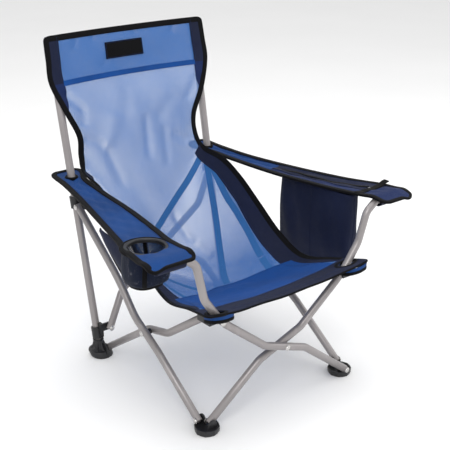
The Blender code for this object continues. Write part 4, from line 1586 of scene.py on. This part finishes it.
    def corner_pocket(self, side: str, s: float) -> None:
        """A short skirt of royal cloth with a bound lower edge: rounded-box rings that flare upwards."""
        centre = place(s * 0.201 + 0.007, -0.028, 0.0)
        ring = pill(1.0, 1.0, 3.2, 44)
        levels = np.array([(0.2985, 1.05), (0.2945, 1.04), (0.2900, 1.01), (0.2860, 0.99)])
        outer = [centre + np.column_stack([ring[:, 0] * 0.030 * k, ring[:, 1] * 0.0235 * k, np.full(44, z)])
                 for z, k in levels]
        inner = [centre + (r - centre) * np.array([0.955, 0.955, 1.0]) for r in outer[::-1]]
        rings = np.array(outer + inner)
        rings[..., 2] += 0.16 * np.maximum(0, (rings[..., 0] - centre[0]) * s) - 0.002
        rings[..., 2] -= 0.30 * (rings[..., 1] - centre[1])
        uv = np.stack(np.broadcast_arrays(np.linspace(0, 0.19, 44)[None], rings[..., 2]), -1)
        body = f"corner_{side}"
        self.add(loft(f"corner_pocket_{side}", rings, True, uv), Finish.ARM, body)
        low = rings[3]
        out = unit((low - low.mean(0)) * [1, 1, 0])
        tape = sweep(f"corner_pocket_tape_{side}", low, out, np.broadcast_to([0, 0, 1.0], low.shape),
                     pill(0.0017, 0.0042, 3.0, 10), closed=True)
        self.add(tape, Finish.BLACK, body)


def stitches(
    name: str, line: Array, normal: Array, lift: float, length: float = 0.0026
) -> bpy.types.Object:
    """Short rounded bars along a line, as one mesh: six-sided, four rings each.

    Args:
        name: the piece's name.
        line: the middle of each bar.
        normal: the direction away from the cloth at each bar.
        lift: how far it is moved that way.
        length: its length.

    Returns:
        The new object.
    """
    tangent = unit(np.gradient(line, axis=0))
    side = np.cross(normal, tangent)
    offset = np.array([-0.5, -0.3, 0.3, 0.5]) * length
    radius = np.array([0.00012, 0.00034, 0.00034, 0.00012])
    turn = np.arange(6) * np.pi / 3
    cos, sin = np.cos(turn)[None, None, :, None], np.sin(turn)[None, None, :, None]
    side, up, tangent = side[:, None, None], normal[:, None, None], tangent[:, None, None]
    ring = side * cos + up * sin
    core = line[:, None, None] + tangent * offset[None, :, None, None] + up * lift
    points = core + ring * radius[None, :, None, None]
    one = quads(4, 6, wrap_cols=True)
    shift = (np.arange(len(line)) * 24)[:, None, None]
    faces = (one[None] + shift).reshape(-1, 4).tolist()
    ends = (np.array([[5, 4, 3, 2, 1, 0], [18, 19, 20, 21, 22, 23]])[None] + shift).reshape(-1, 6).tolist()
    along, around = np.meshgrid(np.arange(4) * 0.001, np.arange(6) * 0.0004, indexing="ij")
    uv = np.tile(np.stack([along, around], -1).reshape(-1, 2), (len(line), 1))
    return mesh_object(name, points.reshape(-1, 3), faces + ends, uv)


# ---------------------------------------------------------------- arms
@dataclass
class Arm(Assembly):
    """A fabric arm: a padded panel from the post to the front tube, bound all round.

    Rows of `stations` run from behind the post to the front: y, inner edge, outer edge and height. The
    panel is cut across at `split`: its front rides on the arm tube and its rear on the collar of the post.
    """

    side: str = "right"
    stations: tuple[tuple[float, ...], ...] = ()
    split: float = 0.108
    thick: float = 0.0036
    corner: tuple[float, float] = (0.024, 0.030)
    front_fold: Crumple | None = None
    rear_fold: Crumple | None = None
    front_cloth: Finish = Finish.ARM

    def edges(self, y: Array) -> tuple[Array, Array, Array]:
        """The outline at places along the arm, with the corners of both ends rounded.

        Args:
            y: places along the arm, from the front feet.

        Returns:
            Inner edge, outer edge and height at each place.
        """
        keys = np.array(self.stations)[::-1]
        fine = spline(keys, np.linspace(0, 1, 400))
        order = np.argsort(fine[:, 0])
        inner, outer, z = (np.interp(y, fine[order, 0], fine[order, k]) for k in (1, 2, 3))
        for end, r in ((keys[0, 0], self.corner[0]), (keys[-1, 0], self.corner[1])):
            t = np.clip(1 - np.abs(y - end) / r, 0, 1)
            trim = r * (1 - np.sqrt(1 - t * t))
            trim = np.minimum(trim, 0.42 * (outer - inner))
            inner, outer = inner + trim, outer - trim
        return inner, outer, z

    def point(self, t: Array, y: Array) -> Array:
        """A point of the arm, which sags 4.5 mm between its edges.

        Args:
            t: 0 at the inner edge, 1 at the outer.
            y: place along the arm, from the front feet.

        Returns:
            The point, with the arm's slow waves and the droop of its front outer corner.
        """
        t, y = np.broadcast_arrays(np.asarray(t, float), np.asarray(y, float))
        inner, outer, z = self.edges(y)
        x = SIDES[self.side] * (inner * (1 - t) + outer * t)
        dip = 0.0045 * np.sin(np.pi * t) * smooth((y + 0.01) / 0.10) * smooth((0.56 - y) / 0.08)
        wave = (0.0011 * np.sin(38 * y + 20 * t) + 0.0007 * np.sin(95 * y - 14 * t)) * np.sin(np.pi * t)
        flat = smooth((y + 0.030) / 0.05) * smooth((0.565 - y) / 0.03)
        droop = 0.0045 * smooth((t - 0.70) / 0.30) * smooth((0.045 - y) / 0.06)
        return place(x, y, z - dip + wave * flat - droop)

    def rows(self, low: float, high: float) -> Array:
        """Places along the arm, closer together where an end is rounded.

        Args:
            low: the first.
            high: the last.

        Returns:
            The places, in rising order.
        """
        count = max(12, int((high - low) / 0.0045))
        even = np.linspace(low, high, count)
        ends = [s[0] for s in self.stations]
        extra = [end + np.sign(np.mean(ends) - end) * r * (1 - np.cos(np.linspace(0, np.pi / 2, 14)))
                 for end, r in ((min(ends), self.corner[0]), (max(ends), self.corner[1]))]
        every = np.unique(np.round(np.concatenate([even, *extra]), 6))
        return every[(every >= low - 1e-9) & (every <= high + 1e-9)]

    def part(self, name: str, low: float, high: float, lift: float = 0.0, thick: float | None = None,
             t: tuple[float, float] = (0.0, 1.0)) -> Made:
        """The panel, or a strip of it.

        Args:
            name: the piece's name.
            low: its front end.
            high: its rear end.
            lift: its height above the panel.
            thick: its thickness, if it isn't the panel's own.
            t: the two shares of the panel's width that it lies between.

        Returns:
            The object and the grid of its middle surface.
        """
        y = self.rows(low, high)[None]
        share = np.linspace(t[0], t[1], 29 if t == (0.0, 1.0) else 11)[:, None]
        grid = self.point(share, y)
        if self.side == "right":
            grid = grid[::-1]
        grid = grid + grid_normals(grid) * lift
        width = np.abs(grid[..., 0] - grid[:1, :, 0])
        uv = np.stack([width, np.broadcast_to(y, width.shape)], -1)
        return shell(name, grid, thick or self.thick, uv), grid

    def outline(self, low: float, high: float, front: bool) -> Array:
        """The edge of one half: from the split round its end and back.

        Args:
            low: front end of the half.
            high: its rear end.
            front: whether it is the front half.

        Returns:
            Points 4 mm apart along the edge.
        """
        y = self.rows(low, high)
        inner, outer = self.point(0.0, y), self.point(1.0, y)
        end = self.point(np.linspace(0, 1, 21), np.full(21, low if front else high))
        a, b = (inner[::-1], outer) if front else (inner, outer[::-1])
        return resample(np.concatenate([a, end[1:-1], b]), 0.004)

    def bind(self, name: str, line: Array, inward: float) -> bpy.types.Object:
        """Tape folded over an edge.

        Args:
            name: the piece's name.
            line: points of the edge.
            inward: 1 where the cloth lies to the left of the line, -1 where it lies to the right.

        Returns:
            The new object.
        """
        tangent = np.gradient(line, axis=0)
        up = np.broadcast_to([0.0, 0.0, 1.0], line.shape)
        into = unit(np.cross(up, tangent)) * inward
        normal = unit(np.cross(tangent, into) * inward)
        return sweep(name, line, into, normal, pill(0.0070, 0.0034) + [0.0040, 0.0])

    def halves(self) -> None:
        """Both halves of the panel with their binding and the row of stitches inside it."""
        ys = [s[0] for s in self.stations]
        s = SIDES[self.side]
        for half, low, high, body, fold in (
            ("front", min(ys), self.split, f"front_arm_{self.side}", self.front_fold),
            ("rear", self.split, max(ys), f"collar_up_{self.side}", self.rear_fold),
        ):
            finish = self.front_cloth if half == "front" else Finish.ARM
            obj, grid = self.part(f"arm_{self.side}_{half}", low, high)
            self.holes(obj, half)
            stands = (f"arm_{self.side}",) if half == "rear" else ()
            self.add(obj, finish, body, stands_for=stands, crumple=fold, cut=cut_size(grid),
                     rests_on=(f"arm_tube_{self.side}", f"back_post_{self.side}"))
            line = self.outline(low, high, half == "front")
            inward = s * (1.0 if half == "front" else -1.0)
            tape = self.bind(f"arm_binding_{self.side}_{half}", line, inward)
            self.add(tape, Finish.BLACK, body, crumple=fold)
            tangent = np.gradient(line, axis=0)
            into = unit(np.cross(np.broadcast_to([0.0, 0.0, 1.0], line.shape), tangent)) * inward
            row = resample(line + into * 0.0132, 0.0042)
            up = np.broadcast_to([0.0, 0.0, 1.0], row.shape)
            seam = stitches(f"arm_stitch_{self.side}_{half}", row, up, self.thick / 2 - 0.0002)
            self.add(seam, Finish.THREAD, body, crumple=fold)

    def holes(self, obj: bpy.types.Object, half: str) -> None:
        """The eyelet round the post, in the rear half."""
        if half == "rear":
            cut_out(obj, column(post_point(self.side, ARM_Z), post_axis(self.side), 0.0125, 0.0125, 0.030))

    def eyelet(self) -> None:
        """A black bound ring round the post."""
        turn = np.arange(40) * 2 * np.pi / 40
        centre = post_point(self.side, ARM_Z + 0.001)
        out = np.stack([np.cos(turn), np.sin(turn), 0 * turn], -1)
        line = centre + out * 0.0135
        up = np.broadcast_to([0.0, 0.0, 1.0], line.shape)
        ring = sweep(f"arm_eyelet_{self.side}", line, out, up, pill(0.0028, 0.0042, 3.0, 10), closed=True)
        self.add(ring, Finish.BLACK, f"collar_up_{self.side}", crumple=self.rear_fold)

    def sleeve(self) -> None:
        """The loop of cloth under the arm that holds the front tube: an oval shell about its top leg."""
        s = SIDES[self.side]
        mid = front_point(0.0, ARM_TUBE_S[self.side], FRONT_OFFSET[self.side])
        x = np.linspace(0.292, 0.360, 12)
        turn = np.arange(36) * 2 * np.pi / 36
        rings = []
        for r, xs in ((0.0132, x), (0.0116, x[::-1])):
            ring = np.stack([0 * turn, r * 1.12 * np.cos(turn), r * np.sin(turn) - 0.0022], -1)
            rings += [ring + np.array([s * v, mid[1], mid[2]]) for v in xs]
        rings = np.array(rings)
        uv = np.stack([np.broadcast_to(turn * 0.0125, rings.shape[:2]), rings[..., 0]], -1)
        self.add(loft(f"arm_sleeve_{self.side}", rings, True, uv), Finish.NAVY, f"front_arm_{self.side}",
                 crumple=self.front_fold)

    def build(self) -> None:
        """The panel, its eyelet and its sleeve."""
        self.halves()
        self.eyelet()
        self.sleeve()


@dataclass
class CupArm(Arm):
    """The right arm: a moulded ring sewn into the panel, a mesh pouch under it and a navy gusset behind."""

    ring_r: float = 0.0455
    hole_r: float = 0.0462

    def holes(self, obj: bpy.types.Object, half: str) -> None:
        """The eyelet, and the hole for the cup."""
        super().holes(obj, half)
        if half == "front":
            centre = place(*CUP, ARM_Z)
            cut_out(obj, column(centre, np.array([0, 0, 1.0]), self.hole_r, self.hole_r, 0.030, 64))

    def build(self) -> None:
        """The arm, then the cup holder."""
        super().build()
        self.ring()
        self.pouch()
        self.gusset()

    def ring(self) -> None:
        """A flat moulded ring with a raised inner lip, and the tape that sews it in."""
        turn = np.arange(72) * 2 * np.pi / 72
        out = np.stack([np.cos(turn), np.sin(turn), 0 * turn], -1)
        up = np.broadcast_to([0.0, 0.0, 1.0], out.shape)
        line = place(*CUP, ARM_Z) + out * self.ring_r
        section = np.array([
            (-0.0058, -0.0040), (-0.0018, -0.0046), (0.0034, -0.0042), (0.0060, -0.0020), (0.0064, 0.0008),
            (0.0050, 0.0024), (0.0022, 0.0026), (0.0002, 0.0034), (-0.0016, 0.0050), (-0.0038, 0.0054),
            (-0.0056, 0.0044), (-0.0064, 0.0020)
        ])
        self.add(sweep("cup_lip", line, out, up, section, closed=True), Finish.PLASTIC, "front_arm_right",
                 stands_for=("cup_ring",))
        line = place(*CUP, ARM_Z + 0.0006) + out * (self.ring_r + 0.0066)
        tape = sweep("cup_tape", line, out, up, pill(0.0032, 0.0026, 3.0, 12), closed=True)
        self.add(tape, Finish.BLACK, "front_arm_right")

    def pouch(self) -> None:
        """A mesh bag with a soft belly and a drain hole: rounded-box rings down outside and up inside."""
        keys = np.array([
            (0.4515, 0.0470, 2.0), (0.4420, 0.0472, 2.1), (0.4240, 0.0476, 2.4), (0.4020, 0.0462, 2.8),
            (0.3880, 0.0436, 3.0), (0.3800, 0.0392, 2.9), (0.3765, 0.0270, 2.5), (0.3755, 0.0050, 2.0)
        ])
        fine = spline(keys, np.linspace(0, 1, 34))
        outer, inner = [], []
        for z, r, p in fine:
            for rings, inset in ((outer, 0.0), (inner, 0.0011)):
                flat = pill(max(r - inset, 0.0035), max(r - inset, 0.0035), p, 64)
                tilt = 0.12 * flat[:, 1] * smooth((0.43 - z) / 0.06)
                rise = inset if r < 0.046 else 0.0
                rings.append(place(CUP[0] + flat[:, 0], CUP[1] + 0.004 + flat[:, 1], z + rise - tilt))
        rings = np.array(outer + inner[::-1])
        around = np.linspace(0, 2 * np.pi * 0.047, 64)[None] * np.ones((len(rings), 1))
        along = run_length(rings[:, 0])[:, None] * np.ones((1, 64))
        obj = loft("cup_pouch_mesh", rings, True, np.stack([around, along], -1))
        self.add(obj, Finish.POUCH, "front_arm_right", stands_for=("cup_pouch",))
        low = rings[27]
        out = unit(low - low.mean(0))
        up = np.broadcast_to([0.0, 0.0, 1.0], low.shape)
        tape = sweep("cup_pouch_tape_low", low, out, up, pill(0.0020, 0.0058, 3.0, 12), closed=True)
        self.add(tape, Finish.BLACK, "front_arm_right")
        for k, number in enumerate((10, 42)):
            line = rings[:28, number]
            out = unit((line - rings[:28].mean(1)) * [1, 1, 0])
            side = unit(np.cross(out, np.gradient(line, axis=0)))
            tape = sweep(f"cup_pouch_tape_{k}", line, side, out, pill(0.0050, 0.0014, 3.0, 10))
            self.add(tape, Finish.BLACK, "front_arm_right")

    def gusset(self) -> None:
        """A navy triangle that ties the pouch to the arm behind it, with a bound lower edge."""
        rear, front = place(-0.316, 0.238, 0.4415), place(-0.342, 0.098, 0.449)
        low = place(-0.346, 0.090, 0.380)
        s = np.linspace(0.03, 1, 26)[:, None, None]
        t = np.linspace(0, 1, 16)[None, :, None]
        top, bottom = rear + (front - rear) * s, rear + (low - rear) * s
        grid = top * (1 - t) + bottom * t
        grid[..., 0] -= (0.010 * np.sin(np.pi * s) * np.sin(np.pi * t))[..., 0]
        grid[..., 2] -= (0.006 * np.sin(np.pi * s) * t)[..., 0]
        uv = np.stack([grid[..., 1], grid[..., 2]], -1)
        self.add(shell("cup_gusset", grid, 0.0014, uv), Finish.NAVY, "front_arm_right", cut=cut_size(grid),
                 rests_on=("arm_right_front",), held="hung")
        edge = resample(grid[:, -1], 0.005)
        tangent = np.gradient(edge, axis=0)
        out = np.broadcast_to([-1.0, 0.0, 0.0], edge.shape)
        across = unit(np.cross(out, tangent))
        tape = sweep("cup_gusset_tape", edge, across, out, pill(0.0058, 0.0016, 3.0, 10))
        self.add(tape, Finish.BLACK, "front_arm_right")


@dataclass
class PocketArm(Arm):
    """The left arm: a navy zipped strip along its outer side and a deep bag hanging beneath."""

    def build(self) -> None:
        """The arm, its strip and zip, then the bag."""
        super().build()
        self.strip()
        self.bag()

    def strip(self) -> None:
        """Navy strip, zip teeth and pull, and the black band across the front."""
        low, high = 0.030, self.split
        obj, grid = self.part("zip_strip", low, high, 0.0023, 0.0010, (0.44, 0.97))
        self.add(obj, Finish.NAVY, "front_arm_left", crumple=self.front_fold, cut=cut_size(grid),
                 rests_on=("arm_left_front",))
        y = resample(np.array([[low + 0.012, 0.0], [high - 0.020, 0.0]]), 0.0028)[:, 0]
        line = self.point(np.full(len(y), 0.60), y)
        up = np.broadcast_to([0.0, 0.0, 1.0], line.shape)
        side = unit(np.cross(up, np.gradient(line, axis=0)))
        tape = sweep("zip_tape", line + up * 0.0030, side, up, pill(0.0046, 0.0009, 3.0, 10))
        self.add(tape, Finish.BLACK, "front_arm_left", crumple=self.front_fold)
        teeth = stitches("zip_teeth", line, side, 0.0, 0.0019)
        teeth.data.transform(Matrix.Translation((0, 0, 0.0040)))
        self.add(teeth, Finish.PLASTIC, "front_arm_left", crumple=self.front_fold)
        tab = self.point(0.60, low + 0.020)
        foot = tab + np.array([0, 0.0, 0.0052])
        lug = Feet.lug("zip_pull", foot, np.array([0, 1.0, 0.0]), 0.0032, tab[2] + 0.0200, 0.0007)
        turn = Vector((0, 1, 0)).rotation_difference(Vector((0, 0.25, 1))).to_matrix().to_4x4()
        lug.data.transform(Matrix.Translation(tab) @ turn @ Matrix.Translation(-tab))
        self.add(lug, Finish.RIVET, "front_arm_left")
        share = np.linspace(0.02, 0.98, 30)
        above = 0.0026 + 0.010 * smooth((share - 0.6) / 0.4)
        line = self.point(share, np.full(30, 0.026)) + np.stack([0 * share, 0 * share, above], -1)
        up = np.broadcast_to([0, 0, 1.0], line.shape)
        into = unit(np.cross(up, np.gradient(line, axis=0)))
        band = sweep("arm_band", line, into, up, pill(0.0085, 0.0018))
        self.add(band, Finish.BLACK, "front_arm_left", crumple=self.front_fold)

    def bag(self) -> None:
        """The bag: rounded-box rings from the arm down, with a swelling belly, a closed bottom and folds."""
        levels = np.concatenate([np.linspace(0, 0.92, 34), np.linspace(0.94, 1.0, 8)])
        ring = pill(1.0, 1.0, 4.5, 120)
        rings = []
        for t in levels:
            end = np.sqrt(max(0.0, 1 - (max(0.0, t - 0.92) / 0.083) ** 2))
            swell = 1.0 + 0.16 * np.sin(np.pi * min(1.0, t * 1.05)) - 0.22 * smooth((t - 0.70) / 0.30)
            half_x = 0.0215 * swell * (0.25 + 0.75 * end)
            half_y = 0.1235 * (1 + 0.02 * np.sin(np.pi * t)) * (0.95 + 0.05 * end)
            x, y = 0.2725 + ring[:, 0] * half_x, 0.1615 + ring[:, 1] * half_y
            fold = 0.0016 * np.sin(95 * y + 5 * t) * np.sin(np.pi * t)
            fold = fold + 0.0012 * np.sin(42 * y - 9 * t) * np.sin(np.pi * t)
            x = x + fold * np.sign(ring[:, 0]) - 0.006 * t
            low = 0.2400 - 0.008 * np.cos(np.pi * (y - 0.16) / 0.125)
            rings.append(place(x, y, 0.4400 * (1 - t) + low * t))
        outer = np.array(rings)
        middle = outer.mean(1, keepdims=True)
        inner = middle + (outer - middle) * np.array([0.93, 0.988, 1.0]) + np.array([0, 0, 0.0012])
        every = np.concatenate([outer, inner[::-1]])
        uv = np.stack([np.broadcast_to(run_length(outer[0]), every.shape[:2]), every[..., 2]], -1)
        self.add(loft("pocket_bag", every, True, uv), Finish.NAVY, "front_arm_left",
                 stands_for=("side_pocket",), crumple=self.front_fold)
        for k, number in ((0, 60), (2, 90), (3, 30)):
            line = outer[2:40, number]
            out = unit((line - middle[2:40, 0]) * [1, 1, 0])
            side = unit(np.cross(out, np.gradient(line, axis=0)))
            welt = sweep(f"pocket_welt_{k}", line, side, out, pill(0.0017, 0.0010, 2.0, 8))
            self.add(welt, Finish.NAVY, "front_arm_left", crumple=self.front_fold)
        low = resample(np.concatenate([outer[37], outer[37][:1]]), 0.005)[:-1]
        out = unit((low - low.mean(0)) * [1, 1, 0])
        up = np.broadcast_to([0, 0, 1.0], low.shape)
        tape = sweep("pocket_hem", low, out, up, pill(0.0012, 0.0030, 3.0, 8), True)
        self.add(tape, Finish.NAVY, "front_arm_left", crumple=self.front_fold)


# ---------------------------------------------------------------- stage
@dataclass
class Stage:
    """Pale floor, soft lights and the camera."""

    eye: tuple[float, float, float] = (-1.335, -1.7525, 1.229)
    backwards: tuple[float, float, float] = (-0.5814, -0.7255, 0.3683)
    lens: float = 77.911

    def build(self) -> None:
        """Set the stage."""
        self.floor()
        self.lights()
        self.camera()

    def floor(self) -> None:
        """A wide pale disc at the height of the soles."""
        turn = np.arange(64) * 2 * np.pi / 64
        ring = np.stack([9 * np.cos(turn), 9 * np.sin(turn), 0 * turn], -1)
        obj = loft("floor", np.stack([ring + [0, 0, -0.02], ring]))
        bench = Bench("pale_floor_look")
        cloud = bench.noise(1.5)
        bench.set(Base_Color=bench.mix(cloud, (0.86, 0.86, 0.86, 1), (0.90, 0.90, 0.90, 1)), Roughness=0.9)
        obj.data.materials.append(bench.material)

    def lights(self) -> None:
        """A large key from the sitter's front right, a fill from the left, a top light and a bright world."""
        for name, place_at, size, power in (
            ("key", (-2.2, -2.4, 2.8), 2.4, 62.0),
            ("fill", (2.6, -1.6, 1.8), 2.6, 26.0),
            ("top", (0.2, 0.6, 3.4), 2.8, 44.0),
        ):
            data = bpy.data.lights.new(name, "AREA")
            data.shape, data.size, data.energy = "DISK", size, power
            lamp = bpy.data.objects.new(name, data)
            lamp.location = place_at
            aim = Vector((0, 0, 0.35)) - Vector(place_at)
            lamp.rotation_euler = aim.to_track_quat("-Z", "Y").to_euler()
            bpy.context.scene.collection.objects.link(lamp)
        world = bpy.data.worlds.new("studio")
        world.use_nodes = True
        sky = world.node_tree.nodes["Background"]
        sky.inputs["Color"].default_value = (1.0, 1.0, 1.0, 1.0)
        sky.inputs["Strength"].default_value = 0.85
        bpy.context.scene.world = world
        bpy.context.scene.view_settings.view_transform = "Standard"

    def camera(self) -> None:
        """The camera, at the height and side that the chair is shown from."""
        data = bpy.data.cameras.new("camera")
        data.lens, data.sensor_width = self.lens, 36.0
        obj = bpy.data.objects.new("camera", data)
        obj.location = self.eye
        obj.rotation_euler = (-Vector(self.backwards)).to_track_quat("-Z", "Y").to_euler()
        bpy.context.scene.collection.objects.link(obj)
        bpy.context.scene.camera = obj


RIGHT_ARM = CupArm(
    side="right",
    stations=(
        (0.583, 0.166, 0.242, 0.4580), (0.548, 0.168, 0.247, 0.4560), (0.500, 0.188, 0.252, 0.4540),
        (0.400, 0.200, 0.272, 0.4515), (0.260, 0.214, 0.306, 0.4495), (0.130, 0.240, 0.3425, 0.4530),
        (0.083, 0.251, 0.3580, 0.4550), (0.053, 0.258, 0.3680, 0.4570), (0.000, 0.266, 0.3770, 0.4620),
        (-0.030, 0.268, 0.3800, 0.4650), (-0.054, 0.271, 0.3800, 0.4560)
    ),
    split=0.108,
    corner=(0.012, 0.018),
    rear_fold=Crumple((0.413, 0.885, 0.219), (-0.2105, 0.2535, 0.455), 0.356),
)
LEFT_ARM = PocketArm(
    side="left",
    stations=(
        (0.580, 0.176, 0.236, 0.4600), (0.545, 0.174, 0.239, 0.4570), (0.500, 0.190, 0.243, 0.4545),
        (0.400, 0.199, 0.256, 0.4510), (0.260, 0.214, 0.290, 0.4480), (0.130, 0.238, 0.328, 0.4470),
        (0.053, 0.256, 0.360, 0.4475), (0.006, 0.266, 0.375, 0.4500), (-0.016, 0.271, 0.382, 0.4515),
        (-0.036, 0.276, 0.381, 0.4470), (-0.053, 0.281, 0.375, 0.4430)
    ),
    split=0.300,
    corner=(0.016, 0.020),
    front_fold=Crumple((0.0, 1.0, 0.0), (0.0, -0.2964, 0.4391), 0.45),
    front_cloth=Finish.DUSK,
    rear_fold=Crumple((-0.340, 0.915, 0.219), (0.2105, 0.2535, 0.455), 0.356),
)


def main() -> None:
    """Build and dress every sub-assembly, then set the stage."""
    logging.basicConfig(level=logging.INFO, format="%(name)s: %(message)s")
    Stage().build()
    for assembly in (Skeleton(), Feet(), Fixings(), Sling(), RIGHT_ARM, LEFT_ARM):
        assembly.build()
        assembly.dress()
        LOG.info("%s: %d pieces", type(assembly).__name__, len(assembly.pieces))


if __name__ == "__main__":
    main()
